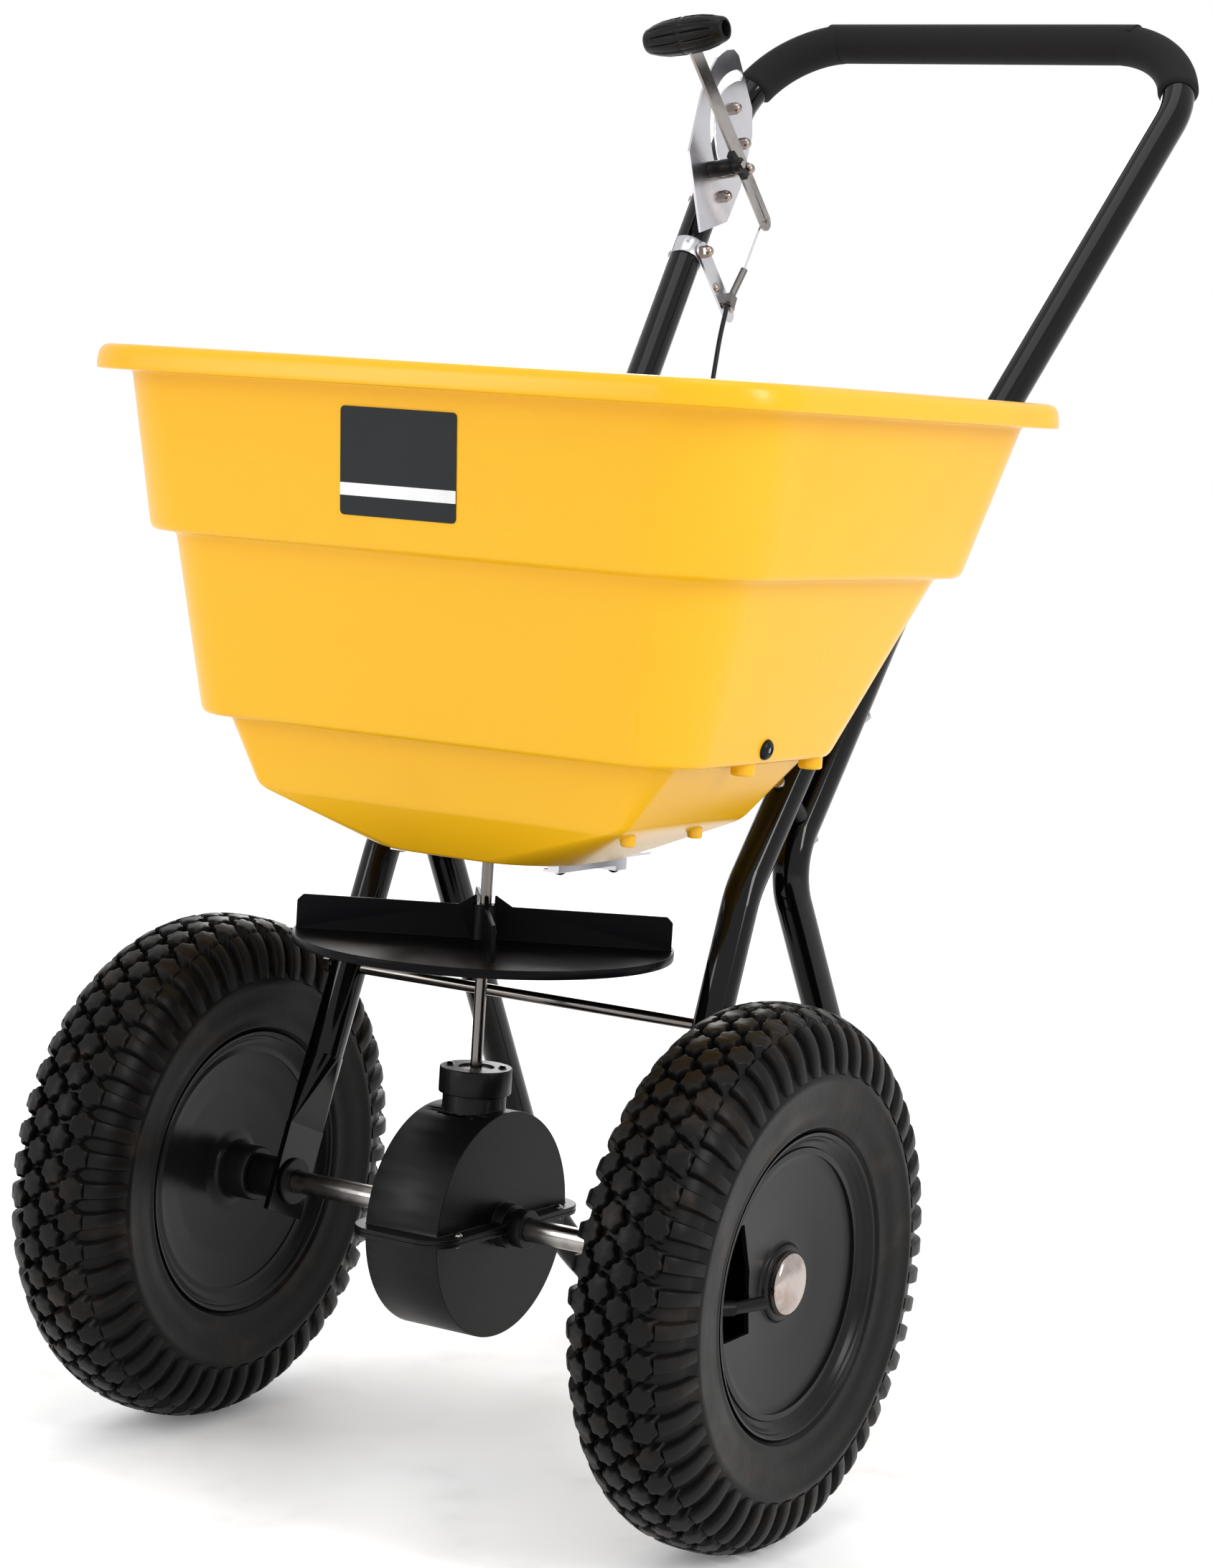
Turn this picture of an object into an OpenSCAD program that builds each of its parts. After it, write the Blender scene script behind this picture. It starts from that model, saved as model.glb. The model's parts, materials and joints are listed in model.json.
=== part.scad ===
/* [Wheels] */
// Radius of the tyre over its tread blocks
tyre_r = 178; // [170:1:186]
// Half of the width across the tyre
tyre_half_w = 43; // [40:1:45]
// Distance from the middle of the machine to the middle of each tyre
half_track = 224; // [220:1:232]
// Outer radius of the rim flange
rim_r = 99; // [95:1:102]
// Distance from the middle of a wheel to the edge of its rim
rim_half_w = 35; // [33:1:37]
// Radius of the axle
axle_r = 7.95; // [7.5:0.05:8.5]

/* [Hopper] */
// Height of the underside of the hopper's lip
lip_z = 731; // [720:1:740]
// Height of the lip itself
lip_h = 17; // [14:1:20]
// Half of the width across the lip
lip_half_w = 269.5; // [262:0.5:275]
// Front edge of the lip, measured from the axle
lip_front = -150; // [-154:1:-140]
// Rear edge of the lip, measured from the axle
lip_rear = 319; // [310:1:325]
// Thickness of the hopper's wall
wall = 4; // [3:0.5:5]
// Height of the upper step of the hopper
step1_z = 626.5; // [620:0.5:632]
// Height of the lower step of the hopper
step2_z = 505.5; // [500:0.5:510]
// Height of the hopper's lowest straight edge
base_z = 460; // [456:1:464]
// Height of the flat underside of the hopper
outlet_z = 427; // [425:1:430]

/* [Frame] */
// Outer radius of the frame tube
tube_r = 12.7; // [12:0.1:13.5]
// Thickness of the frame tube's wall
tube_wall = 1.5; // [1.2:0.1:2]
// Height of the middle of the grip
grip_z = 1033; // [1020:1:1045]
// Outer radius of the foam grip
foam_r = 15.8; // [15:0.1:17]

/* [Drive] */
// Height of the rim of the impeller disc
disc_z = 362; // [358:1:366]
// Radius of the impeller disc
disc_r = 128; // [122:1:132]
// Radius of the impeller shaft
shaft_r = 4; // [3.8:0.1:4.2]
// Teeth on the crown gear
crown_teeth = 48; // [48:12:48]
// Teeth on the pinion
pinion_teeth = 12; // [12:12:12]
// Outer radius of the gearbox
box_r = 76.5; // [75:0.5:78]
// Half of the width of the gearbox
box_half_w = 29; // [28:0.5:31]

/* [Control] */
// Length of the lever from its pivot to the middle of its knob
lever_up = 122; // [112:1:124]
// Length of the lever from its pivot to the hole for the wire
lever_down = 48; // [44:1:52]
// Slope of the lever from the level, forward and up
lever_angle = 54; // [52:1:56]

/* [Hidden] */
$fn = 64;
hull_fn = 32;
// Gap between pieces of different bodies
gap = 0.3;
// Gap between the lengths of one tube, bridged inside its wall
cleft = 0.01;
// Radial play of a running fit
play = 0.05;

axle_z = tyre_r;
grip_y = 632;
// The part's origin lies on the ground, below the middle of its length
middle_y = (grip_y + foam_r - tyre_r) / 2;

// Rises of the handle's legs for each millimetre of height
leg_rake = 0.8016;
leg_splay = 0.1559;
splay_z = 652;
splay_angle = atan(leg_splay);
function rake_y(z) = grip_y - (grip_z - z) * leg_rake;
function splay_x(z) = 142.5 + (z - splay_z) * leg_splay;

// Bends of the rear tube, from the handle's joint down to the ground bar
joint_z = 575;
knee = [146, 143.5, 424];
foot = [155.5, 383.4, tube_r];
knee_bend_r = 45;
foot_bend_r = 140;
grip_bend_r = 75;
splay_bend_r = 150;
// Bends of the front legs
front_x = 150;
front_knee = [148, 86, 412];
front_top = [146, 86 + (592 - 412) * leg_rake, 592];
flat_z = 216;
flare_z = 262;
flat_w = 40;
flat_t = 4;
front_rake = front_knee[1] / (front_knee[2] - axle_z);
cross_z = 324;
cross_y = (cross_z - axle_z) * front_rake;
cross_r = 4;
bolt_r = 3;

function unit(v) = v / norm(v);
function flip(p) = [-p[0], p[1], p[2]];
// Angle through which a path turns at point b
function turn(a, b, c) = acos(unit(b - a) * unit(c - b));
function trim(a, b, c, r) = r * tan(turn(a, b, c) / 2);

module placed() translate([0, -middle_y, 0]) children();

// A disc of radius r, or a ring of inner radius bore
module ring_of(r, bore) difference() {
    circle(r = r);
    if (bore > 0) circle(r = bore);
}
// A round bar from a to b
module bar(a, b, r, bore = 0) {
    d = b - a;
    translate(a) rotate([0, acos(d[2] / norm(d)), atan2(d[1], d[0])])
        linear_extrude(norm(d)) ring_of(r, bore);
}

// The bend of radius r_bend that a bar of radius r makes at b, or part of it
module bend(a, b, c, r_bend, r, bore = 0, from = 0, upto = 1) {
    u = unit(b - a);
    w = unit(c - b);
    n = unit(w - u * (u * w));
    k = cross(u, n);
    phi = turn(a, b, c);
    translate(b - u * trim(a, b, c, r_bend) + n * r_bend)
        rotate([atan2(u[2], k[2]), asin(n[2]), atan2(-n[1], -n[0])])
            rotate([0, 0, phi * from]) rotate_extrude(angle = phi * (upto - from))
                translate([r_bend, 0]) ring_of(r, bore);
}

// A thin ring in the wall of a tube at p, square to the direction d, that joins two of its lengths
module seam(p, d, r, bore) {
    mid = (r + bore) / 2;
    bar(p - d * 0.8, p + d * 0.8, mid + (r - bore) / 5, mid - (r - bore) / 5);
}

// A tube through all the points p, with bends of radii q at the inner ones
module run(p, q, r, bore) {
    last = len(p) - 1;
    cut = [for (i = [0:last]) i == 0 || i == last ? 0 : trim(p[i - 1], p[i], p[i + 1], q[i - 1])];
    for (i = [0:last - 1]) {
        d = unit(p[i + 1] - p[i]);
        bar(p[i] + d * (cut[i] + (i > 0 ? cleft : 0)), p[i + 1] - d * (cut[i + 1] + (i < last - 1 ?
            cleft : 0)),
            r, bore);
        if (i > 0) seam(p[i] + d * cut[i], d, r, bore);
        if (i < last - 1) seam(p[i + 1] - d * cut[i + 1], d, r, bore);
    }
    for (i = [1:last - 1]) bend(p[i - 1], p[i], p[i + 1], q[i - 1], r, bore);
}

// A frame tube through all the points p
module tube(p, q) run(p, q, tube_r, tube_r - tube_wall);

// A rounded rectangle of half width w that reaches from y = front to y = rear
module outline(w, front, rear, r) {
    translate([-w + r, front]) square([2 * (w - r), rear - front]);
    translate([-w, front + r]) square([2 * w, rear - front - 2 * r]);
    for (x = [-w + r, w - r], y = [front + r, rear - r]) translate([x, y]) circle(r = r);
}

// A thin slice of the hopper's body at height z: s = [half width, front, rear, corner radius]
module slice(s, z, inset = 0, $fn = hull_fn) {
    corner = max(s[3] - inset, 2);
    for (x = [-1, 1], y = [s[1] + inset + corner, s[2] - inset - corner])
        translate([x * (s[0] - inset - corner), y, z]) cylinder(h = 0.01, r = corner);
}

// Slices of the hopper's three tiers, from the top down
lip_in = 18;
step_in = 15.8;
lip_round = 70;
tier1_top = [lip_half_w - lip_in, lip_front + lip_in, lip_rear - lip_in, lip_round - 8];
tier1_low = [237.7, -122.4, 245.9, 68];
tier2_top = [tier1_low[0] - step_in, tier1_low[1] + step_in, tier1_low[2] - step_in, 54];
tier2_low = [196.8, -92.3, 132.5, 42];
tier3_top = [177.8, -75, 126, 24];
tier3_low = [145.5, -69.5, 87.5, 8];
outlet = [76, -52, 82, 50];

// Sizes of the ports, the gate and its guide
port_y = 46;
port_w = 26;
port_l = 13;
port_pitch = 36;
gate_z = 424.4;
gate_t = 2;
gate_half_w = 59;
gate_front = 27;
gate_rear = 126;
tongue_y = 150;
rail_z = 422;
guide_z = 418.5;
guide_end_y = 190;
wire_r = 0.8;
wire_z = gate_z + gate_t + wire_r;

// Sizes of the gears: the pitch circles touch at the height crown_r above the axle
crown_r = 56;
pinion_r = crown_r * pinion_teeth / crown_teeth;
tooth = 2 * pinion_r / pinion_teeth;
crown_face = 12;
shaft_top = 474;
neck_top = 281.5;
cap_r = 24.5;
neck_r = 21.5;
box_wall = 3;
flange_half_w = 40;
flange_half_l = 90;
flange_t = 3;
hub_r = 19;
hub_in = 46;
hub_out = 24;

// The control's own frame sits on the left leg, square to it, with its x axis across the leg
control_z = 934.5;
plate_x = tube_r + 0.3;
plate_t = 2;
lever_x = 33;
lever_t = 2.5;
lever_w = 16;
knob_in = lever_x + lever_t + 1;
pivot = [-27, -18.5];
arc_mid = [15.9, 9.8];
arc_r = 54.4;
arc_half_w = 4.5;
arc_ends = [96, 200];
stop_at = [-46, -17.5];
leg_dir = unit([leg_rake, norm([1, leg_splay])]);
upper_bolt = leg_dir * 10;
lower_bolt = leg_dir * -48;
strap_at = leg_dir * -108;
arm_end = [-35, -131];
clamp_at = [-40, -122];
wire_hole = pivot + lever_down * [cos(lever_angle), -sin(lever_angle)];
cable_x = 20.5;
ferrule_top = [26.5, -23.5, -97];

module on_leg() {
    translate([-splay_x(control_z), rake_y(control_z), control_z])
        rotate([0, -splay_angle, 0]) children();
}
// Turns a shape drawn in the y-z plane so that its thickness lies along x
module side_plate(x, t) translate([x, 0, 0]) rotate([90, 0, 90]) linear_extrude(t) children();
module cross_pin(at, x0, x1, r) translate([x0, at[0], at[1]]) rotate([0, 90, 0]) cylinder(h = x1 - x0,
    r = r);
// A flat bar with round ends
module link(a, b, r) {
    for (p = [a, b]) translate(p) circle(r = r);
    translate(a) rotate(atan2(b[1] - a[1], b[0] - a[0])) translate([0, -r]) square([norm(b - a), 2 * r]);
}
// A hexagon nut with a domed end, pointing along x from x0
module dome_nut(at, x0, r = 5) {
    translate([x0, at[0], at[1]]) rotate([0, 90, 0]) {
        cylinder(h = 4, r = r, $fn = 6);
        intersection() {
            cylinder(h = 4 + r, r = r * 0.87);
            translate([0, 0, 4]) sphere(r = r * 0.87);
        }
    }
}
// A low round screw head, pointing down z from z0
module dome_head(r, h) {
    intersection() {
        translate([0, 0, h - (r * r + h * h) / (2 * h)]) sphere(r = (r * r + h * h) / (2 * h));
        cylinder(h = h, r = r);
    }
}

module whole_hopper() difference() {
    union() {
        hull() { slice(tier1_top, lip_z + lip_h - 3); slice(tier1_low, step1_z); }
        hull() { slice(tier2_top, step1_z + 1); slice(tier2_low, step2_z); }
        hull() { slice(tier3_top, step2_z + 1); slice(tier3_low, base_z); slice(outlet, outlet_z); }
        translate([0, 0, lip_z]) linear_extrude(lip_h - 4)
            outline(lip_half_w - 2, lip_front + 2, lip_rear - 2, lip_round - 2);
        translate([0, 0, lip_z]) linear_extrude(5)
            outline(lip_half_w, lip_front, lip_rear, lip_round);
        translate([0, 0, lip_z + lip_h - 5]) linear_extrude(5)
            outline(lip_half_w - 6, lip_front + 6, lip_rear - 6, lip_round - 6);
        for (x = [-1, 1]) {
            for (y = [10, 98]) translate([x * 186, y, step2_z - 8]) cylinder(h = 9, r = 8);
            for (y = [-40, 42]) translate([x * 134, y, base_z - 11]) cylinder(h = 14, r = 5);
        }
    }
    hull() { slice(tier1_top, lip_z + lip_h + 1, wall); slice(tier1_low, step1_z + wall, wall); }
    hull() { slice(tier2_top, step1_z + wall + 1, wall); slice(tier2_low, step2_z + wall, wall); }
    hull() {
        slice(tier3_top, step2_z + wall + 1, wall);
        slice(tier3_low, base_z + wall, wall);
        slice(outlet, outlet_z + wall, wall);
    }
    translate([0, 0, outlet_z - 1]) cylinder(h = wall + 3, r = 8);
    leg_holes(bolt_zs);
    for (i = [-1:1]) translate([i * port_pitch - port_w / 2, port_y - port_l / 2, outlet_z - 1])
        cube([port_w, port_l, wall + 3]);
}
// One moulding, held as three lengths that meet at the floors of its steps
module hopper_ring(from, to) placed() color([1, 0.76, 0.15]) intersection() {
    whole_hopper();
    translate([-lip_half_w - 10, lip_front - 10, from])
        cube([2 * lip_half_w + 20, lip_rear - lip_front + 20, to - from]);
}
module hopper_upper() hopper_ring(step1_z + wall, lip_z + lip_h + 10);
module hopper_middle() hopper_ring(step2_z + wall, step1_z + wall);
module hopper_lower() hopper_ring(base_z - 60, step2_z + wall);

module label_plate() placed() color([0.22, 0.23, 0.24]) {
    run_z = lip_z + lip_h - 3 - step1_z;
    lean = atan((tier1_low[1] - tier1_top[1]) / run_z);
    translate([-45, tier1_low[1], step1_z]) rotate([lean, 0, 0])
        translate([0, -0.8, 22]) cube([90, 0.8, 70]);
}

bolt_zs = [530, 578];
brace_zs = [474, 556];
// The middle of the front leg's upper run at height z
function upper_y(z) = front_knee[1] + (z - front_knee[2]) * leg_rake;
function upper_x(z) = front_knee[0] + (z - front_knee[2]) / (front_top[2] - front_knee[2])
    * (front_top[0] - front_knee[0]);
// Points square across the front leg's upper run at height z, up and forward to the hopper
module across_leg(s, z) translate([s * upper_x(z), upper_y(z), z]) rotate([atan2(1, leg_rake), 0, 0])
    children();
leg_cos = cos(atan(leg_rake));
// Distance from the middle of the upper run to the hopper's rear wall
rear_gap = (upper_y(step2_z) - tier2_low[2]) * leg_cos;
// Distance from the middle of the upper run back to the middle of the rear tube
brace_gap = (rake_y(500) - upper_y(500)) * leg_cos;
module leg_holes(zs) for (s = [-1, 1], z = zs) across_leg(s, z) translate([0, 0, -60]) cylinder(h =
    120, r = bolt_r);

module hopper_spacers() placed() color([0.1, 0.1, 0.1]) for (s = [-1, 1], z = bolt_zs)
    across_leg(s, z) difference() {
        cylinder(h = rear_gap - 0.05, r = 7);
        cylinder(h = rear_gap, r = bolt_r);
        rotate([90, 0, 0]) translate([0, 0, -20]) cylinder(h = 40, r = tube_r);
    }

side_lean = atan((tier2_top[0] - tier2_low[0]) / (step1_z + 1 - step2_z));
// Half width of the middle tier at height z
function side_x(z) = tier2_low[0] + (z - step2_z) * tan(side_lean) + 0.02;
// Depth of the sloping rear wall, measured along a bolt
seat_depth = 1.46 * wall;
module hopper_bolts() placed() {
    color([0.12, 0.12, 0.12]) for (s = [-1, 1]) translate([s * side_x(516), 15, 516])
        rotate([0, s * (90 + side_lean), 0]) dome_head(6.5, 3.5);
    color([0.75, 0.75, 0.76]) for (s = [-1, 1], z = bolt_zs) across_leg(s, z) {
        translate([0, 0, -tube_r - 2]) cylinder(h = tube_r + rear_gap + seat_depth + 4, r = bolt_r -
            0.01);
        translate([0, 0, -tube_r - 3.5]) cylinder(h = 3.5, r = 5, $fn = 6);
        translate([0, 0, rear_gap + seat_depth]) cylinder(h = 3, r = 6);
    }
}

module gate_guide() placed() color([0.78, 0.79, 0.8]) difference() {
    union() {
        for (s = [-1, 1]) translate([s > 0 ? gate_half_w - 3 : -gate_half_w - 9, -18, rail_z])
            cube([12, 84, outlet_z - rail_z]);
        translate([-gate_half_w - 9, 52, guide_z]) cube([2 * gate_half_w + 18, 14, rail_z - guide_z]);
        translate([-8, 60, guide_z]) cube([16, guide_end_y - 60, 2.5]);
        translate([-8, guide_end_y - 2.5, guide_z]) cube([16, 2.5, wire_z + 6 - guide_z]);
    }
    translate([-gate_half_w - gap, -30, gate_z - gap / 2])
        cube([2 * (gate_half_w + gap), 200, gate_t + gap]);
    translate([0, guide_end_y + 1, wire_z]) rotate([90, 0, 0]) cylinder(h = 5, r = 3);
}

rivet_x = gate_half_w + 5;
module gate_rivets() placed() color([0.82, 0.82, 0.82])
    for (x = [-rivet_x, rivet_x], y = [-10, 56]) {
        low = y > 50 ? guide_z : rail_z;
        translate([x, y, low]) mirror([0, 0, 1]) dome_head(4, 2);
    }

module port_row() for (i = [-1:1]) translate([i * port_pitch - port_w / 2, port_y - port_l / 2])
    square([port_w, port_l]);

module gate() placed() color([0.85, 0.86, 0.88]) translate([0, 0, gate_z]) linear_extrude(gate_t)
    difference() {
        polygon([[-gate_half_w, gate_front], [gate_half_w, gate_front], [gate_half_w, gate_rear - 16],
            [gate_half_w - 8, gate_rear], [13, tongue_y], [-13, tongue_y],
            [-gate_half_w + 8, gate_rear], [-gate_half_w, gate_rear - 16]]);
        port_row();
    }

module gate_wire() placed() color([0.8, 0.8, 0.8]) {
    translate([0, 210, wire_z]) rotate([90, 0, 0]) cylinder(h = 210 - tongue_y + 8, r = wire_r);
    translate([0, tongue_y - 6, gate_z + gate_t]) cylinder(h = 3, r = 3.2);
}

module gate_ferrule() placed() color([0.5, 0.5, 0.5]) difference() {
    union() {
        translate([0, 212, wire_z]) rotate([90, 0, 0]) cylinder(h = 24.5, r = 2.95);
        translate([0, guide_end_y + 3, wire_z]) rotate([90, 0, 0]) cylinder(h = 3, r = 4.5);
    }
    translate([0, 213, wire_z]) rotate([90, 0, 0]) cylinder(h = 30, r = wire_r + 0.3);
}

module shaft_bushing() placed() color([0.9, 0.9, 0.88]) translate([0, 0, outlet_z - 3]) difference() {
    union() {
        cylinder(h = wall + 8, r = 7.9);
        translate([0, 0, 3 + wall]) cylinder(h = 3, r = 11);
        cylinder(h = 3, r = 10);
    }
    translate([0, 0, -1]) cylinder(h = 30, r = shaft_r + play);
}

module agitator() placed() color([0.7, 0.7, 0.7]) {
    difference() {
        translate([0, 0, outlet_z + 30]) cylinder(h = 14, r = 8);
        translate([0, 0, outlet_z + 20]) cylinder(h = 40, r = shaft_r);
    }
    for (s = [0, 1]) rotate([0, 0, 35 + 180 * s]) {
        bar([7, 0, outlet_z + 37], [46, 0, outlet_z + 37], 2.2);
        bar([46, 0, outlet_z + 38.5], [46, 0, outlet_z + 12], 2.2);
    }
}

module impeller_shaft() placed() color([0.75, 0.76, 0.78])
    translate([0, 0, axle_z + crown_r - 18]) cylinder(h = shaft_top - axle_z - crown_r + 18, r =
        shaft_r);

// The disc's two long vanes are as wide as the disc, and its two short ones stand across them
vane_angle = 31;
disc_t = 6;
vane_h = 23;
vane_t = 3;
short_vane = 0.74 * disc_r;
module vane(length) rotate([90, 0, 0]) translate([0, 0, -vane_t / 2]) linear_extrude(vane_t)
    polygon([[shaft_r + 2, disc_t - 1], [length, disc_t - 1], [length, disc_t + vane_h - 4],
        [length - 4, disc_t + vane_h], [18, disc_t + vane_h], [shaft_r + 3, disc_t + vane_h + 7],
        [shaft_r + 2, disc_t + vane_h + 7]]);
module impeller() placed() color([0.09, 0.09, 0.1]) translate([0, 0, disc_z]) difference() {
    union() {
        difference() {
            cylinder(h = disc_t, r = disc_r);
            translate([0, 0, -1]) cylinder(h = disc_t - 1, r = disc_r - 3);
        }
        translate([0, 0, -4]) cylinder(h = disc_t + vane_h + 5, r = 8.5);
        for (a = [0, 180]) rotate(vane_angle + a) vane(disc_r - 2);
        for (a = [97, 277]) rotate(vane_angle + a) vane(short_vane);
    }
    translate([0, 0, -6]) cylinder(h = 60, r = shaft_r);
}

module impeller_pins() placed() color([0.7, 0.7, 0.7]) for (z = [disc_z + 12, disc_z - 1])
    translate([0, 0, z]) rotate([0, 0, vane_angle - 45]) rotate([0, 90, 0]) difference() {
        translate([0, 0, -11]) cylinder(h = 22, r = 1.6);
        translate([0, 0, -8.5]) cylinder(h = 17, r = 2);
    }

// One pinion tooth, straight sided and narrower at its tip
module pinion_outline() {
    circle(r = pinion_r - 1.2 * tooth);
    for (i = [0:pinion_teeth - 1]) rotate(i * 360 / pinion_teeth)
        polygon([[pinion_r - 2 * tooth, -1.9], [pinion_r - tooth, -1.75], [pinion_r + 0.8 * tooth, -0.8],
            [pinion_r + 0.8 * tooth, 0.8], [pinion_r - tooth, 1.75], [pinion_r - 2 * tooth, 1.9]]);
}
module pinion() placed() color([0.85, 0.8, 0.7]) difference() {
    union() {
        translate([0, 0, axle_z + crown_r - crown_face / 2]) linear_extrude(crown_face) pinion_outline();
        translate([0, 0, axle_z + crown_r - crown_face / 2 - 4]) cylinder(h = 4, r = 7);
    }
    translate([0, 0, axle_z]) cylinder(h = 100, r = shaft_r);
}

module axis_x(x0, x1, r) translate([x0, 0, axle_z]) rotate([0, 90, 0]) cylinder(h = x1 - x0, r = r);

// The crown gear's teeth stand on its face, midway between the pinion's teeth
crown_tip_x = -pinion_r + 0.8 * tooth;
crown_root_x = -pinion_r - 1.1 * tooth;
module crown_gear() placed() color([0.85, 0.8, 0.7]) difference() {
    union() {
        axis_x(crown_root_x - 5, crown_root_x, crown_r + 9);
        axis_x(crown_root_x - 8, crown_root_x + 16, 14);
        for (i = [0:crown_teeth - 1]) translate([0, 0, axle_z])
            rotate([(i + 0.5) * 360 / crown_teeth, 0, 0]) translate([0, 0, crown_r - crown_face / 2 - 2])
                linear_extrude(crown_face + 4) polygon([[crown_root_x - 1, -1.75], [crown_root_x - 1,
                    1.75],
                    [-pinion_r, 1.35], [crown_tip_x, 0.75], [crown_tip_x, -0.75], [-pinion_r, -1.35]]);
    }
    axis_x(-60, 60, axle_r);
}

// The round part of the gearbox between x0 and x1, cut by the level of the axle
module half_box(top) {
    s = top ? 1 : -1;
    intersection() {
        difference() {
            union() {
                axis_x(-box_half_w, box_half_w, box_r);
                axis_x(-box_half_w - 9, box_half_w + 9, 15);
                translate([0, 0, axle_z - flange_t]) linear_extrude(2 * flange_t)
                    outline(flange_half_w, -flange_half_l, flange_half_l, 24);
                if (top) translate([0, 0, axle_z + box_r - 20]) cylinder(h = neck_top - 6 - axle_z -
                    box_r + 20,
                    r = neck_r);
            }
            axis_x(-box_half_w + box_wall, box_half_w - box_wall, box_r - box_wall);
            axis_x(-60, 60, axle_r + play);
            if (top) translate([0, 0, axle_z + 40]) cylinder(h = 100, r = neck_r - 6);
            for (x = [-34, 34], y = [-60, 60]) translate([x, y, axle_z - 10]) cylinder(h = 20, r = 2);
        }
        translate([-200, -200, top ? axle_z : axle_z - 300]) cube([400, 400, 300]);
    }
}
module gearbox_upper() placed() color([0.1, 0.1, 0.11]) half_box(true);
module gearbox_lower() placed() color([0.1, 0.1, 0.11]) half_box(false);

module gearbox_cap() placed() color([0.1, 0.1, 0.11]) difference() {
    translate([0, 0, neck_top - 17.5]) cylinder(h = 17.5, r = cap_r);
    translate([0, 0, neck_top - 18.5]) cylinder(h = 12.5, r = neck_r);
    translate([0, 0, neck_top - 10]) cylinder(h = 20, r = 12);
}

module neck_bushing() placed() color([0.85, 0.83, 0.78]) difference() {
    union() {
        translate([0, 0, neck_top - 8]) cylinder(h = 6, r = 11.98);
        translate([0, 0, axle_z + crown_r + 8.6]) cylinder(h = neck_top - 8 - axle_z - crown_r - 8.6, r
            = 15.4);
    }
    translate([0, 0, axle_z]) cylinder(h = 200, r = shaft_r + play);
}

module gearbox_screws() placed() color([0.8, 0.8, 0.8]) {
    for (x = [-34, 34], y = [-60, 60]) translate([x, y, axle_z]) {
        translate([0, 0, -flange_t - 2]) cylinder(h = 2 * flange_t + 2.5, r = 1.95);
        translate([0, 0, flange_t]) dome_head(3.4, 2.2);
    }
    for (a = [205, 25]) rotate([0, 0, a]) translate([18, 0, neck_top]) dome_head(3.4, 2.2);
}

module axle() placed() color([0.75, 0.76, 0.78]) axis_x(-half_track - hub_out - 4, half_track + hub_out
    + 4, axle_r);

module axle_bushings() placed() color([0.08, 0.08, 0.08]) for (s = [0, 1]) mirror([s, 0, 0])
    difference() {
    union() {
        axis_x(front_x - flat_t / 2 - 3, front_x - flat_t / 2, 16);
        axis_x(front_x - flat_t / 2 - 3, front_x + flat_t / 2 + 1, 11);
        axis_x(front_x + flat_t / 2, half_track - hub_in - 1, 14.5);
    }
    axis_x(0, half_track, axle_r + play);
}

module axle_collars() placed() color([0.1, 0.1, 0.1]) for (s = [0, 1]) mirror([s, 0, 0]) difference() {
    axis_x(flange_half_w + 1, flange_half_w + 10.5, 13);
    axis_x(0, half_track, axle_r);
}

// Half outline of a tyre's section, as a power curve between the rim and the tread
module tyre_section(shrink) {
    mid = (tyre_r + rim_r - 12) / 2;
    tall = (tyre_r - rim_r + 12) / 2 - shrink;
    wide = tyre_half_w - shrink;
    n = 2.6;
    polygon([for (a = [0:7.5:352.5]) [mid + tall * sign(cos(a)) * pow(abs(cos(a)), 2 / n),
        wide * sign(sin(a)) * pow(abs(sin(a)), 2 / n)]]);
}
rim_seat_r = 88;
module tyre(side) placed() color([0.06, 0.06, 0.06]) translate([side * half_track, 0, axle_z])
    rotate([0, 90, 0]) rotate_extrude() difference() {
        tyre_section(0);
        tyre_section(6);
        translate([0, -rim_half_w]) square([rim_r + 0.2, 2 * rim_half_w]);
    }

// Outline of the window in the disc, around the valve
window = [[26, -39], [-15, -43], [-47.5, -57], [-47.5, -90], [26, -90]];
// The rim about its z axis: barrel with flanges, dished disc and hub, open at the axle's bore
module rim_barrel() rotate_extrude() polygon([[rim_seat_r - 5, -rim_half_w], [rim_r, -rim_half_w],
    [rim_r, -rim_half_w + 2.2], [rim_seat_r, -rim_half_w + 2.2], [rim_seat_r - 2, -rim_half_w + 5],
    [rim_seat_r - 2, rim_half_w - 5], [rim_seat_r, rim_half_w - 2.2], [rim_r, rim_half_w - 2.2],
    [rim_r, rim_half_w], [rim_seat_r - 5, rim_half_w]]);
module rim_disc() rotate_extrude() polygon([[rim_seat_r - 3, 28.5], [rim_seat_r - 3, 26], [80, 21.5],
    [hub_r - 2, 17.5], [hub_r - 2, 20], [80, 24]]);
module rim_cone() rotate_extrude() polygon([[rim_seat_r - 3, -28.5], [rim_seat_r - 3, -26], [78, -22.5],
    [hub_r - 2, -17.5], [hub_r - 2, -20], [78, -25]]);
module rim(side, bore) placed() color([0.2, 0.2, 0.21]) translate([side * half_track, 0, axle_z])
    rotate([0, side * 90, 0]) difference() {
        union() {
            rim_barrel();
            rim_cone();
            difference() {
                rim_disc();
                translate([0, 0, -20]) linear_extrude(60) polygon(window);
            }
            translate([0, 0, -hub_in]) cylinder(h = hub_in + hub_out, r = hub_r);
        }
        translate([0, 0, -60]) cylinder(h = 120, r = bore);
    }

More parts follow.
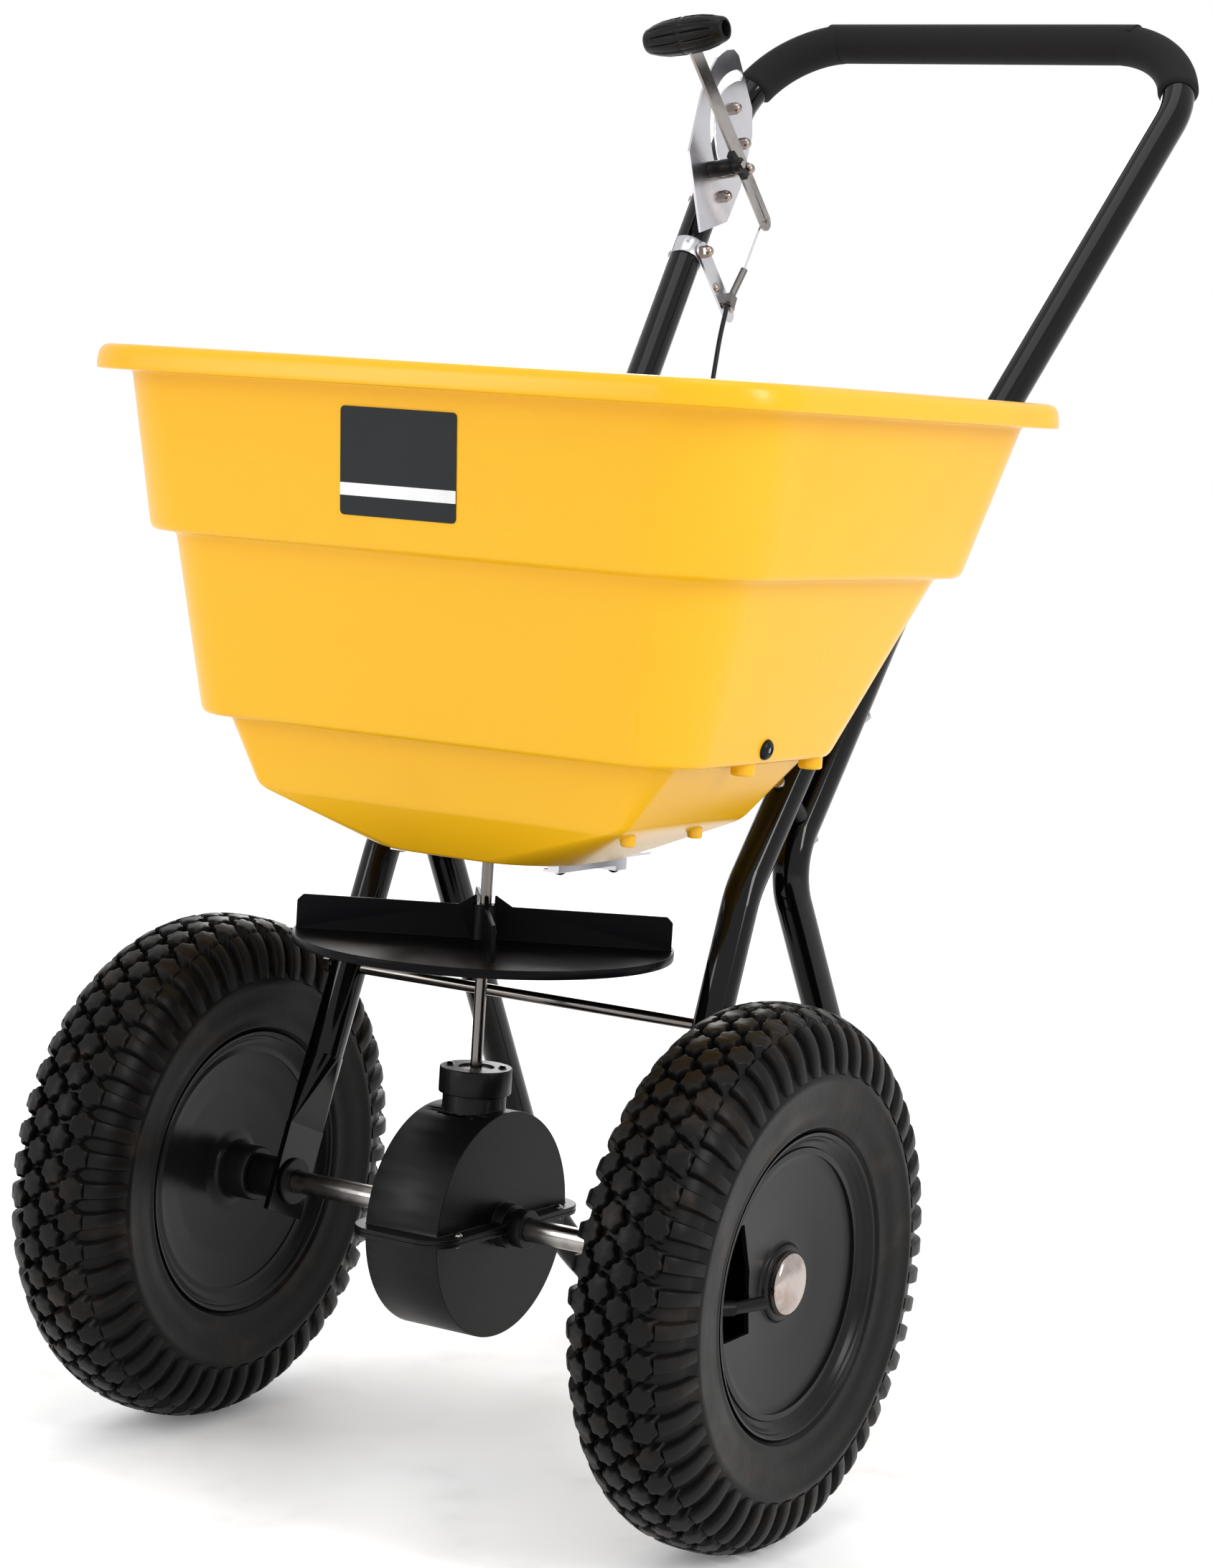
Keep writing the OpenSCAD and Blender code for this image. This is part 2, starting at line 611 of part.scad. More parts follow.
// The chrome cap over the axle's end
cap_end_r = 20.8;
cap_wall = 4;
cap_rise = 5.5;
cap_dome_r = (cap_end_r * cap_end_r + cap_rise * cap_rise) / (2 * cap_rise);
module cap(side) placed() color([0.75, 0.72, 0.68]) translate([side * (half_track + hub_out), 0, axle_z])
    rotate([0, side * 90, 0]) rotate_extrude() difference() {
        intersection() {
            square([cap_end_r, cap_wall + cap_rise]);
            translate([0, cap_wall + cap_rise - cap_dome_r]) circle(r = cap_dome_r);
        }
        translate([-1, -1]) square([axle_r + 3, cap_wall + 1]);
    }

// The valve's rubber stem, standing from the rim's well towards the hub
valve_at = 6;
module valve(side) placed() color([0.08, 0.08, 0.08]) translate([side * half_track, 0, axle_z])
    rotate([0, side * 90, 0]) {
        bar([valve_at, -rim_seat_r + 9.5, 8], [valve_at, -60, 21.5], 5.2);
        bar([valve_at, -61, 21.2], [valve_at, -34, 28], 4.3);
    }

module drive_tyre() tyre(1);
module drive_rim() rim(1, axle_r);
module drive_cap() cap(1);
module drive_valve() valve(1);
module drive_pin() placed() color([0.7, 0.7, 0.7]) translate([half_track - hub_in + 10, 0, axle_z])
    difference() {
        translate([0, 0, -hub_r - 2.5]) cylinder(h = 2 * hub_r + 5, r = 2.5);
        translate([0, 0, -hub_r]) cylinder(h = 2 * hub_r, r = 3);
    }
module free_tyre() tyre(-1);
module free_rim() rim(-1, axle_r + 2);
module free_cap() cap(-1);
module free_valve() valve(-1);
module free_bearing() placed() color([0.85, 0.83, 0.78]) for (x = [-hub_in, hub_out - 14])
    mirror([1, 0, 0]) difference() {
        axis_x(half_track + x, half_track + x + 14, axle_r + 2);
        axis_x(0, half_track * 2, axle_r + play);
    }

// A front leg: a tube above, flared and flattened below, with a hole for the axle's bushing
function low_leg(s, z) = [s * front_x, (z - axle_z) * front_rake, z];
module on_low_leg(s) translate([s * front_x, 0, axle_z]) rotate([-atan(front_rake), 0, 0]) children();
module flat_end(s, from, h) on_low_leg(s) translate([-flat_t / 2, -flat_w / 2, from]) cube([flat_t,
    flat_w, h]);
module front_leg(s) placed() color([0.05, 0.05, 0.05]) difference() {
    low = low_leg(s, flare_z);
    mid = s > 0 ? front_knee : flip(front_knee);
    top = s > 0 ? front_top : flip(front_top);
    union() {
        tube([low, mid, top], [70]);
        hull() {
            on_low_leg(s) translate([0, 0, norm(low - low_leg(s, axle_z)) - 1])
                cylinder(h = 2, r = tube_r + 0.4, $fn = hull_fn);
            on_low_leg(s) translate([0.3 - flat_t / 2, 0.3 - flat_w / 2, flat_z - axle_z])
                cube([flat_t - 0.6, flat_w - 0.6, 1]);
        }
        flat_end(s, -24, flat_z - axle_z + 24.5);
    }
    axis_x(-half_track, half_track, 11);
    translate([-200, cross_y, cross_z]) rotate([0, 90, 0]) cylinder(h = 400, r = cross_r);
    leg_holes(concat(bolt_zs, brace_zs));
}
module left_front_leg() front_leg(-1);
module right_front_leg() front_leg(1);

leg_top = [splay_x(splay_z), rake_y(joint_z), joint_z];
module rear_stand() placed() color([0.05, 0.05, 0.05]) difference() {
    tube([flip(leg_top), flip(knee), flip(foot), foot, knee, leg_top],
        [knee_bend_r, foot_bend_r, foot_bend_r, knee_bend_r]);
    leg_holes(brace_zs);
}
splay_point = [splay_x(splay_z), rake_y(splay_z), splay_z];
corner = [splay_x(grip_z), grip_y, grip_z];
module handle() placed() color([0.05, 0.05, 0.05]) difference() {
    tube([flip(leg_top), flip(splay_point), flip(corner), corner, splay_point, leg_top],
        [splay_bend_r, grip_bend_r, grip_bend_r, splay_bend_r]);
    on_leg() for (p = [upper_bolt, lower_bolt, strap_at]) cross_pin(p, -30, 30, bolt_r);
}

// Inner sleeves that join the handle to the rear tube
module handle_plugs() placed() color([0.3, 0.3, 0.3]) for (s = [-1, 1]) {
    d = unit(splay_point - leg_top);
    e = unit(knee - leg_top);
    up = [s * (leg_top[0] + d[0] * 34), leg_top[1] + d[1] * 34, leg_top[2] + d[2] * 34];
    down = [s * (leg_top[0] + e[0] * 34), leg_top[1] + e[1] * 34, leg_top[2] + e[2] * 34];
    here = [s * leg_top[0], leg_top[1], leg_top[2]];
    bar(here, up, tube_r - tube_wall - 0.05);
    bar(here, down, tube_r - tube_wall - 0.05);
}

module frame_spacers() placed() color([0.1, 0.1, 0.1]) for (s = [-1, 1], z = brace_zs)
    across_leg(s, z) difference() {
        translate([0, 0, -brace_gap]) cylinder(h = brace_gap, r = 7);
        translate([0, 0, -brace_gap]) cylinder(h = brace_gap, r = bolt_r);
        rotate([90, 0, 0]) translate([0, 0, -20]) cylinder(h = 40, r = tube_r);
        translate([0, 0, -brace_gap]) rotate([90, 0, 0]) translate([0, 0, -20])
            cylinder(h = 40, r = tube_r + 1.5);
    }

module frame_bolts() placed() color([0.75, 0.75, 0.76]) for (s = [-1, 1], z = brace_zs)
    across_leg(s, z) {
        translate([0, 0, -brace_gap - tube_r - 3]) cylinder(h = brace_gap + 2 * tube_r + 6, r = bolt_r
            - 0.01);
        translate([0, 0, -brace_gap - tube_r - 3.5]) cylinder(h = 3.5, r = 5, $fn = 6);
        translate([0, 0, tube_r]) cylinder(h = 3, r = 5);
    }

module cross_bar() placed() color([0.75, 0.76, 0.78]) translate([-front_x - tube_r - 4, cross_y,
    cross_z])
    rotate([0, 90, 0]) cylinder(h = 2 * (front_x + tube_r + 4), r = cross_r);
module cross_bar_nuts() placed() color([0.75, 0.76, 0.78]) for (s = [-1, 1])
    translate([s * (front_x + tube_r), cross_y, cross_z]) rotate([0, s * 90, 0]) difference() {
        union() {
            cylinder(h = 5, r = 7.4, $fn = 6);
            translate([0, 0, 5]) dome_head(6, 3);
        }
        translate([0, 0, -1]) cylinder(h = 5.6, r = cross_r);
    }

grip_from = 0.28;
module grip() placed() color([0.08, 0.08, 0.08]) {
    bend(flip(splay_point), flip(corner), corner, grip_bend_r, foam_r, tube_r, grip_from, 1);
    bend(flip(corner), corner, splay_point, grip_bend_r, foam_r, tube_r, 0, 1 - grip_from);
    t = corner - [trim(splay_point, corner, flip(corner), grip_bend_r), 0, 0];
    bar(flip(t) + [cleft, 0, 0], t - [cleft, 0, 0], foam_r, tube_r);
    for (p = [t, flip(t)]) seam(p, [1, 0, 0], foam_r, tube_r);
}

module control_plate() placed() color([0.85, 0.86, 0.88]) on_leg() side_plate(plate_x, plate_t)
    difference() {
        polygon([[-77, -5.5], [-68, -69], [-26, -57.5], [0, -27.5], [24, 16], [27, 38.5], [15, 70],
            [11, 80],
            [4, 84], [-8, 82], [-22, 75], [-33, 65], [-50, 45]]);
        difference() {
            translate(arc_mid) circle(r = arc_r + arc_half_w);
            translate(arc_mid) circle(r = arc_r - arc_half_w);
            translate(arc_mid) rotate(arc_ends[1]) translate([-200, 0]) square(400);
            translate(arc_mid) rotate(arc_ends[0]) translate([-200, -400]) square(400);
        }
        for (a = arc_ends) translate(arc_mid + arc_r * [cos(a), sin(a)]) circle(r = arc_half_w - 0.02);
        translate(stop_at) circle(r = bolt_r);
        for (p = [upper_bolt, lower_bolt]) translate(p) circle(r = bolt_r);
        translate(pivot) circle(r = bolt_r);
        translate([-5, 35]) circle(r = bolt_r);
    }

module control_bolts() placed() color([0.75, 0.73, 0.7]) on_leg() {
    for (p = [upper_bolt, lower_bolt]) {
        cross_pin(p, -tube_r - 2, plate_x + plate_t + 4, bolt_r - 0.01);
        dome_nut(p, plate_x + plate_t);
        translate([-tube_r, p[0], p[1]]) rotate([0, -90, 0]) dome_head(5.5, 4);
    }
    cross_pin([-5, 35], plate_x - 3, plate_x + plate_t + 3, bolt_r - 0.01);
    cross_pin([-5, 35], plate_x - 3.5, plate_x, 5);
    dome_nut([-5, 35], plate_x + plate_t);
}

module stop_sleeve() placed() color([0.06, 0.06, 0.06]) on_leg() difference() {
    cross_pin(stop_at, plate_x + plate_t, knob_in - 0.2, 6.5);
    cross_pin(stop_at, plate_x, lever_x + 5, bolt_r);
}
module stop_bolt() placed() color([0.75, 0.73, 0.7]) on_leg() {
    cross_pin(stop_at, plate_x - 3, knob_in + 9, bolt_r - 0.05);
    cross_pin(stop_at, plate_x - 3, plate_x, 8);
}
module stop_knob() placed() color([0.06, 0.06, 0.06]) on_leg() difference() {
    union() {
        cross_pin(stop_at, knob_in, knob_in + 7, 6);
        translate([0, stop_at[0], stop_at[1]]) rotate([-38, 0, 0]) translate([knob_in + 1, -13.5, -3])
            cube([5.5, 27, 6]);
    }
    cross_pin(stop_at, 0, 80, bolt_r);
}

// Places a shape drawn along the lever, with its y axis up the lever from the pivot
module along_lever(x, t) side_plate(x, t) translate(pivot) rotate(90 - lever_angle) children();
module lever() placed() color([0.75, 0.75, 0.76]) on_leg() along_lever(lever_x, lever_t) difference() {
    union() {
        translate([-lever_w / 2, -lever_down]) square([lever_w, lever_down + lever_up - 6]);
        translate([0, -lever_down]) circle(r = lever_w / 2);
    }
    circle(r = bolt_r + play);
    translate([0, -lever_down]) circle(r = 2);
}

module lever_knob() placed() color([0.05, 0.05, 0.05]) on_leg() difference() {
    translate([lever_x + lever_t / 2, pivot[0], pivot[1]]) rotate([180 - lever_angle, 0, 0])
        translate([-38, lever_up, 0]) rotate([0, 90, 0]) rotate_extrude()
            polygon([[0, 0], [8, 0], [10.5, 3], [14.2, 24], [15, 36], [14.2, 48], [10.5, 69], [8.5,
                72], [6.2, 72],
                [6.2, 52], [0, 52]]);
    translate([0, 0, 0]) along_lever(lever_x, lever_t) translate([-lever_w / 2, 0])
        square([lever_w, lever_up - 6]);
}

module lever_pivot() placed() color([0.75, 0.73, 0.7]) on_leg() {
    cross_pin(pivot, plate_x, lever_x + lever_t + 4, bolt_r);
    cross_pin(pivot, plate_x + plate_t, lever_x - 0.3, 4.8);
    dome_nut(pivot, lever_x + lever_t + 0.3);
}

module cable_strap() placed() color([0.8, 0.8, 0.82]) on_leg() difference() {
    union() {
        translate([0, strap_at[0], strap_at[1]]) rotate([-atan2(leg_dir[0], leg_dir[1]), 0, 0])
            translate([0, 0, -8]) cylinder(h = 16, r = tube_r + 1.2);
    }
    translate([0, strap_at[0], strap_at[1]]) rotate([-atan2(leg_dir[0], leg_dir[1]), 0, 0])
        translate([0, 0, -10]) cylinder(h = 20, r = tube_r);
    translate([-60, strap_at[0], strap_at[1]]) rotate([-atan2(leg_dir[0], leg_dir[1]), 0, 0])
        translate([0, -30, -30]) cube([56, 60, 60]);
    cross_pin(strap_at, -30, 30, bolt_r);
}

arm_x = tube_r + 1.5;
module cable_arm() placed() color([0.85, 0.86, 0.88]) on_leg() difference() {
    side_plate(arm_x, 2) link(strap_at, arm_end, 8);
    cross_pin(strap_at, 0, 60, bolt_r);
}

module cable_bolts() placed() color([0.75, 0.73, 0.7]) on_leg() {
    cross_pin(strap_at, -tube_r - 2, arm_x + 6, bolt_r - 0.01);
    dome_nut(strap_at, arm_x + 2);
    translate([-tube_r, strap_at[0], strap_at[1]]) rotate([0, -90, 0]) dome_head(5.5, 4);
    for (p = [[-52, -112], [-31, -127]]) translate([arm_x + 2, p[0], p[1]]) rotate([0, 90, 0])
        dome_head(4, 3);
}

// The cable leaves the clamp in a straight line towards the hole in the lever
clamp_point = [cable_x, clamp_at[0], clamp_at[1]];
cable_dir = unit(ferrule_top - clamp_point);
module cable_ferrule() placed() color([0.45, 0.45, 0.44]) on_leg() {
    difference() {
        bar(clamp_point - cable_dir * 3, ferrule_top, 2.9);
        bar(clamp_point, ferrule_top + cable_dir, wire_r + 0.2);
    }
    difference() {
        translate([arm_x + 2, clamp_at[0], clamp_at[1]]) rotate([-33, 0, 0])
            translate([0, -4, -4.5]) cube([cable_x - arm_x + 2, 8, 9]);
        bar(clamp_point - cable_dir * 20, ferrule_top, 2.9);
    }
}

wire_hook = [lever_x - 1.2, wire_hole[0], wire_hole[1]];
module cable_wire() placed() color([0.7, 0.7, 0.7]) on_leg() {
    bar(ferrule_top - cable_dir * 1.5, wire_hook, wire_r);
    cross_pin(wire_hole, wire_hook[0] - 0.5, lever_x + lever_t + 3, wire_r);
}

// The route of the cable, from its clamp on the handle down to the gate
sheath_start = [-147, 509, 812];
sheath_route = [sheath_start, [-144, 496, 786], [-140, 482, 750], [-134, 462, 712], [-127, 436, 672],
    [-118, 403, 628], [-106, 366, 584], [-91, 328, 541], [-74, 294, 502], [-54, 264, 468],
    [-32, 242, 442], [-14, 228, 430], [-3, 221, 427.4], [0, 216, 427.2], [0, 212.2, 427.2]];
sheath_r = 1.9;
sheath_sides = 8;
function tangent(p, i) = unit(p[min(i + 1, len(p) - 1)] - p[max(i - 1, 0)]);
function ring(p, i) = let (t = tangent(p, i), a = unit(cross(t, [1, 0, 0])), b = cross(t, a))
    [for (k = [0:sheath_sides - 1]) p[i] + sheath_r * (a * cos(360 * k / sheath_sides)
        + b * sin(360 * k / sheath_sides))];
module cable_sheath() placed() color([0.05, 0.05, 0.05]) {
    n = sheath_sides;
    last = len(sheath_route) - 1;
    polyhedron(points = [for (i = [0:last]) each ring(sheath_route, i)],
        faces = concat([[for (k = [0:n - 1]) k]], [[for (k = [n - 1:-1:0]) last * n + k]],
            [for (i = [0:last - 1], k = [0:n - 1])
                [i * n + k, (i + 1) * n + k, (i + 1) * n + (k + 1) % n, i * n + (k + 1) % n]]));
}

hopper_upper();
hopper_middle();
hopper_lower();
label_plate();
hopper_bolts();
hopper_spacers();
gate_guide();
gate_rivets();
gate();
gate_wire();
gate_ferrule();
shaft_bushing();
agitator();
impeller_shaft();
impeller();
impeller_pins();
pinion();
gearbox_upper();
gearbox_lower();
gearbox_cap();
neck_bushing();
gearbox_screws();
crown_gear();
axle();
axle_bushings();
axle_collars();
drive_tyre();
drive_rim();
drive_pin();
drive_cap();
drive_valve();
free_tyre();
free_rim();
free_bearing();
free_cap();
free_valve();
left_front_leg();
right_front_leg();
rear_stand();
handle();
handle_plugs();
frame_spacers();
frame_bolts();
cross_bar();
cross_bar_nuts();
grip();
control_plate();
control_bolts();
stop_sleeve();
stop_bolt();
stop_knob();
lever();
lever_knob();
lever_pivot();
cable_strap();
cable_arm();
cable_bolts();
cable_ferrule();
cable_sheath();
cable_wire();
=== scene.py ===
import json
import math

import bmesh
import bpy
import numpy as np
from mathutils import Matrix, Vector


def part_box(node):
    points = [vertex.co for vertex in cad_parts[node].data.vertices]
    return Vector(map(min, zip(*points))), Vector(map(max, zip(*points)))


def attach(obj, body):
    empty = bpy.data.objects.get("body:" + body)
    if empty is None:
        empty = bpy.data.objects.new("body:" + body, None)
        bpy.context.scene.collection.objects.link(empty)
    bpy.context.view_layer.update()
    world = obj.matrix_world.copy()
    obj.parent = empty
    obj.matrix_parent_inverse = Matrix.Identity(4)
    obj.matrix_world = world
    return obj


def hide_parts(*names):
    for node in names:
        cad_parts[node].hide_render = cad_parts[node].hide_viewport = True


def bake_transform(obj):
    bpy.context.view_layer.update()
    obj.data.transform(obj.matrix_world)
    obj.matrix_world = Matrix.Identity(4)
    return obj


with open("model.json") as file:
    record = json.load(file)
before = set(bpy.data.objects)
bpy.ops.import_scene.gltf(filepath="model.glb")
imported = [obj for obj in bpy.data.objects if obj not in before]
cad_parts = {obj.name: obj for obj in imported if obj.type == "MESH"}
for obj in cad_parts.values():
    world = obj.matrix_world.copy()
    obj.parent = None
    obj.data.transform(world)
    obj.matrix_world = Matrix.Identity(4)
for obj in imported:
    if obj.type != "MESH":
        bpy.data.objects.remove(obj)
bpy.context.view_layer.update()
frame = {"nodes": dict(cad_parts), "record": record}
NODES = frame["nodes"]
MM = 0.001

# The record's origin lies under the middle of the object; most sizes below are counted from the axle.
AXLE = Vector([(a + b) / 2 for a, b in zip(*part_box("axle"))])
AXLE_Y, AXLE_Z = AXLE.y, AXLE.z


def at(x, y, z):
    """A point given in millimetres, with y counted from the axle and z from the ground."""
    return Vector((x * MM, AXLE_Y + y * MM, z * MM))


# ---------------------------------------------------------------- materials
FADE = 0.86  # how dark a stain is where none is given
GRAIN_DEPTH = 0.0004


def material(name, color, rough=0.4, metal=0.0, grain=0.0, grain_scale=900.0, mottle=0.04, mottle_scale=6.0,
             specular=0.5, stain=None, stain_scale=14.0, stain_from=0.5, stain_to=0.75):
    """A finish with soft stains in its colour, a mottled roughness and, where it has grain, a fine bump."""
    m = bpy.data.materials.new(name)
    m.use_nodes = True
    t = m.node_tree
    b = t.nodes["Principled BSDF"]
    b.inputs["Base Color"].default_value = (*color, 1)
    b.inputs["Roughness"].default_value = rough
    b.inputs["Metallic"].default_value = metal
    b.inputs["Specular IOR Level"].default_value = specular
    where = t.nodes.new("ShaderNodeTexCoord").outputs["Object"]
    spots = t.nodes.new("ShaderNodeTexNoise")
    spots.inputs["Scale"].default_value = stain_scale
    spots.inputs["Detail"].default_value = 5
    spots.inputs["Roughness"].default_value = 0.6
    tint = t.nodes.new("ShaderNodeValToRGB")
    tint.color_ramp.elements[0].position = stain_from
    tint.color_ramp.elements[0].color = (*color, 1)
    tint.color_ramp.elements[1].position = stain_to
    tint.color_ramp.elements[1].color = (*(stain or tuple(v * FADE for v in color)), 1)
    t.links.new(where, spots.inputs["Vector"])
    t.links.new(spots.outputs["Fac"], tint.inputs["Fac"])
    t.links.new(tint.outputs["Color"], b.inputs["Base Color"])
    if mottle:
        noise = t.nodes.new("ShaderNodeTexNoise")
        noise.inputs["Scale"].default_value = mottle_scale
        noise.inputs["Detail"].default_value = 6
        ramp = t.nodes.new("ShaderNodeMapRange")
        ramp.inputs["To Min"].default_value = max(rough - mottle, 0.02)
        ramp.inputs["To Max"].default_value = min(rough + mottle, 1)
        t.links.new(where, noise.inputs["Vector"])
        t.links.new(noise.outputs["Fac"], ramp.inputs["Value"])
        t.links.new(ramp.outputs["Result"], b.inputs["Roughness"])
    if grain:
        noise = t.nodes.new("ShaderNodeTexNoise")
        noise.inputs["Scale"].default_value = grain_scale
        noise.inputs["Detail"].default_value = 3
        bump = t.nodes.new("ShaderNodeBump")
        bump.inputs["Strength"].default_value = grain
        bump.inputs["Distance"].default_value = GRAIN_DEPTH
        t.links.new(where, noise.inputs["Vector"])
        t.links.new(noise.outputs["Fac"], bump.inputs["Height"])
        t.links.new(bump.outputs["Normal"], b.inputs["Normal"])
    return m


YELLOW = material("yellow plastic", (0.735, 0.39, 0.0075), 0.27, grain=0.14, grain_scale=420, mottle=0.05,
                  specular=0.28, stain=(0.695, 0.355, 0.006), stain_scale=5)
PAINT = material("black paint", (0.0015, 0.0015, 0.0015), 0.085, mottle=0.025, specular=0.22)
RUBBER = material("tyre rubber", (0.0042, 0.0037, 0.0035), 0.4, grain=0.3, grain_scale=260, mottle=0.13,
                  mottle_scale=30, specular=0.12, stain=(0.017, 0.0115, 0.008), stain_scale=24,
                  stain_from=0.56, stain_to=0.72)
RIM = material("rim paint", (0.0055, 0.0055, 0.006), 0.27, mottle=0.07, mottle_scale=9, specular=0.15)
ZINC = material("zinc", (0.36, 0.34, 0.325), 0.2, metal=1.0, mottle=0.09, mottle_scale=60,
                stain=(0.2, 0.175, 0.155), stain_scale=40)
BRIGHT = material("bright zinc", (0.6, 0.59, 0.62), 0.24, metal=1.0, mottle=0.06, mottle_scale=25)
NUT = material("nut", (0.33, 0.28, 0.25), 0.18, metal=1.0, stain=(0.2, 0.15, 0.12), stain_scale=90)
CHROME = material("cap chrome", (0.42, 0.37, 0.345), 0.15, metal=1.0, mottle=0.06, mottle_scale=40,
                  stain=(0.3, 0.22, 0.19), stain_scale=55)
PLASTIC = material("black plastic", (0.004, 0.0038, 0.0039), 0.36, grain=0.2, grain_scale=700, mottle=0.07,
                   specular=0.16)
DISC_BLACK = material("disc plastic", (0.0022, 0.0024, 0.0032), 0.36, mottle=0.06, specular=0.06)
# A darker copy of the zinc for the cross bar and the impeller shaft: the extra darkness is painted dark
# reflection, not a darker metal.
ZINC_PAINTED_DARK_REFLECTION = material("zinc with painted dark reflections", (0.17, 0.155, 0.145), 0.2, metal=1.0, mottle=0.08, mottle_scale=60)
NYLON = material("nylon", (0.6, 0.58, 0.52), 0.45)
FOAM = material("foam", (0.0075, 0.007, 0.0075), 0.75, grain=0.8, grain_scale=900, specular=0.18)
LABEL = material("label", (0.014, 0.0165, 0.018), 0.4, specular=0.15)
LABEL_BAND = material("label band", (0.72, 0.73, 0.73), 0.45)
DULL = material("ferrule", (0.16, 0.15, 0.145), 0.38, metal=0.9)
SHEATH = material("sheath", (0.005, 0.005, 0.005), 0.35, specular=0.25)

LOOKS = {
    "yellow_plastic": YELLOW, "label": LABEL, "zinc": ZINC, "cap_chrome": CHROME, "black_plastic": PLASTIC,
    "natural_plastic": NYLON, "ferrule": DULL, "tyre": RUBBER, "valve_rubber": RUBBER, "dark_rim": RIM,
    "black_paint": PAINT, "foam": FOAM,
}
SPECIAL = {
    "control_plate": BRIGHT, "cable_arm": BRIGHT, "cable_strap": BRIGHT, "gate": BRIGHT, "gate_guide": BRIGHT,
    "lever": ZINC, "cross_bar": ZINC_PAINTED_DARK_REFLECTION, "impeller_shaft": ZINC_PAINTED_DARK_REFLECTION, "control_bolts": NUT,
    "cable_bolts": NUT, "lever_pivot": NUT, "impeller": DISC_BLACK, "cable_sheath": SHEATH,
}
SLOTS = {s["node"]: s["material_slot"] for s in frame["record"]["subparts"]}
BODY_OF = {n: b for b, ns in frame["record"]["behaviour"]["bodies"].items() for n in ns}


def dress(obj, look):
    """Gives a mesh one material."""
    obj.data.materials.clear()
    obj.data.materials.append(look)


for name, node in NODES.items():
    dress(node, SPECIAL.get(name, LOOKS[SLOTS[name]]))


# ---------------------------------------------------------------- building blocks
def piece(name, verts, faces, look, *nodes, replaces=True, angle=35):
    """A mesh object with a given finish, that stands for CAD nodes unless told otherwise."""
    mesh = bpy.data.meshes.new(name)
    mesh.from_pydata([tuple(v) for v in verts], [], faces)
    mesh.validate()
    bm = bmesh.new()
    bm.from_mesh(mesh)
    bmesh.ops.recalc_face_normals(bm, faces=bm.faces)
    bm.to_mesh(mesh)
    bm.free()
    obj = bpy.data.objects.new(name, mesh)
    bpy.context.collection.objects.link(obj)
    mesh.polygons.foreach_set("use_smooth", [True] * len(mesh.polygons))
    mesh.set_sharp_from_angle(angle=math.radians(angle))
    dress(obj, look)
    if replaces:
        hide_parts(*nodes)
    return obj


def add(name, verts, faces, look, *nodes, **more):
    """A piece that rides on the body of its CAD nodes."""
    obj = piece(name, verts, faces, look, *nodes, **more)
    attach(obj, BODY_OF[nodes[0]])
    return obj


def loft(rings, close_ends=(True, True), wrap=False):
    """Vertices and faces that join rings of equally many points."""
    n = len(rings[0])
    verts = [p for r in rings for p in r]
    faces = []
    count = len(rings) if wrap else len(rings) - 1
    for i in range(count):
        a, b = i * n, ((i + 1) % len(rings)) * n
        faces += [(a + k, a + (k + 1) % n, b + (k + 1) % n, b + k) for k in range(n)]
    if not wrap:
        if close_ends[0]:
            faces.append(tuple(range(n))[::-1])
        if close_ends[1]:
            faces.append(tuple((len(rings) - 1) * n + k for k in range(n)))
    return verts, faces


def lathe_x(profile, cx, segs=128, side=1):
    """A closed profile of (radius, distance outwards) in mm, turned about the axle's line at x = cx."""
    rings = []
    for k in range(segs):
        a = 2 * math.pi * k / segs
        rings.append([at(cx + side * h, r * math.sin(a), AXLE_Z / MM + r * math.cos(a)) for r, h in profile])
    return loft(rings, wrap=True)


def soften(points, amount, steps=3):
    """Rounds the corners of an open list of points (tuples of any length)."""
    out = [points[0]]
    for i in range(1, len(points) - 1):
        p, q, r = (np.array(v, float) for v in points[i - 1:i + 2])
        a = min(amount / max(np.linalg.norm((p - q)[:2]), 1e-9), 0.48)
        b = min(amount / max(np.linalg.norm((r - q)[:2]), 1e-9), 0.48)
        s, e = q + (p - q) * a, q + (r - q) * b
        for k in range(steps + 1):
            t = k / steps
            out.append(tuple((1 - t) ** 2 * s + 2 * t * (1 - t) * q + t * t * e))
    out.append(points[-1])
    return out


# ---------------------------------------------------------------- hopper
def oval(z, w, front, rear, r, arc=10):
    """A rounded rectangle of half width w at height z, as points in order."""
    pts = []
    corners = ((w - r, rear - r, 0), (r - w, rear - r, 90), (r - w, front + r, 180), (w - r, front + r, 270))
    for cx, cy, a0 in corners:
        for k in range(arc + 1):
            a = math.radians(a0 + 90 * k / arc)
            pts.append(at(cx + r * math.cos(a), cy + r * math.sin(a), z))
    return pts


# Each level of the shell: height, half width, front, rear, corner radius
OUTER = [(748, 258, -138, 307, 60), (748, 264, -144.5, 313.5, 65), (744, 268, -148.5, 317.5, 68),
         (733, 269.4, -150, 319, 70), (731.2, 268.6, -149.2, 318.2, 70), (731.2, 252, -133, 297, 63),
         (731.2, 249.9, -130.9, 294.5, 62), (626.5, 237.7, -122.4, 245.9, 68),
         (627.2, 221.9, -106.6, 230.1, 54), (505.5, 196.8, -92.3, 132.5, 42), (506.4, 177.8, -75, 126, 24),
         (460, 145.5, -69.5, 87.5, 8), (427.2, 76, -52, 82, 50), (427, 20, -5, 30, 15)]
INNER = [(748, 258, -138, 307, 60), (748, 249, -129.5, 298.5, 59), (745, 247.4, -127.9, 296.9, 58),
         (630.5, 233.7, -118.4, 241.9, 64), (631.2, 217.9, -102.6, 226.1, 50),
         (509.5, 192.8, -88.3, 128.5, 38), (510.4, 173.8, -71, 122, 20), (464, 141.5, -65.5, 83.5, 6),
         (431.2, 72, -48, 78, 46), (431, 20, -5, 30, 15)]


def shell(levels, amount):
    """The shell's rings, with its bends rounded by an amount in millimetres."""
    return [oval(*level) for level in soften(levels, amount, 4)]


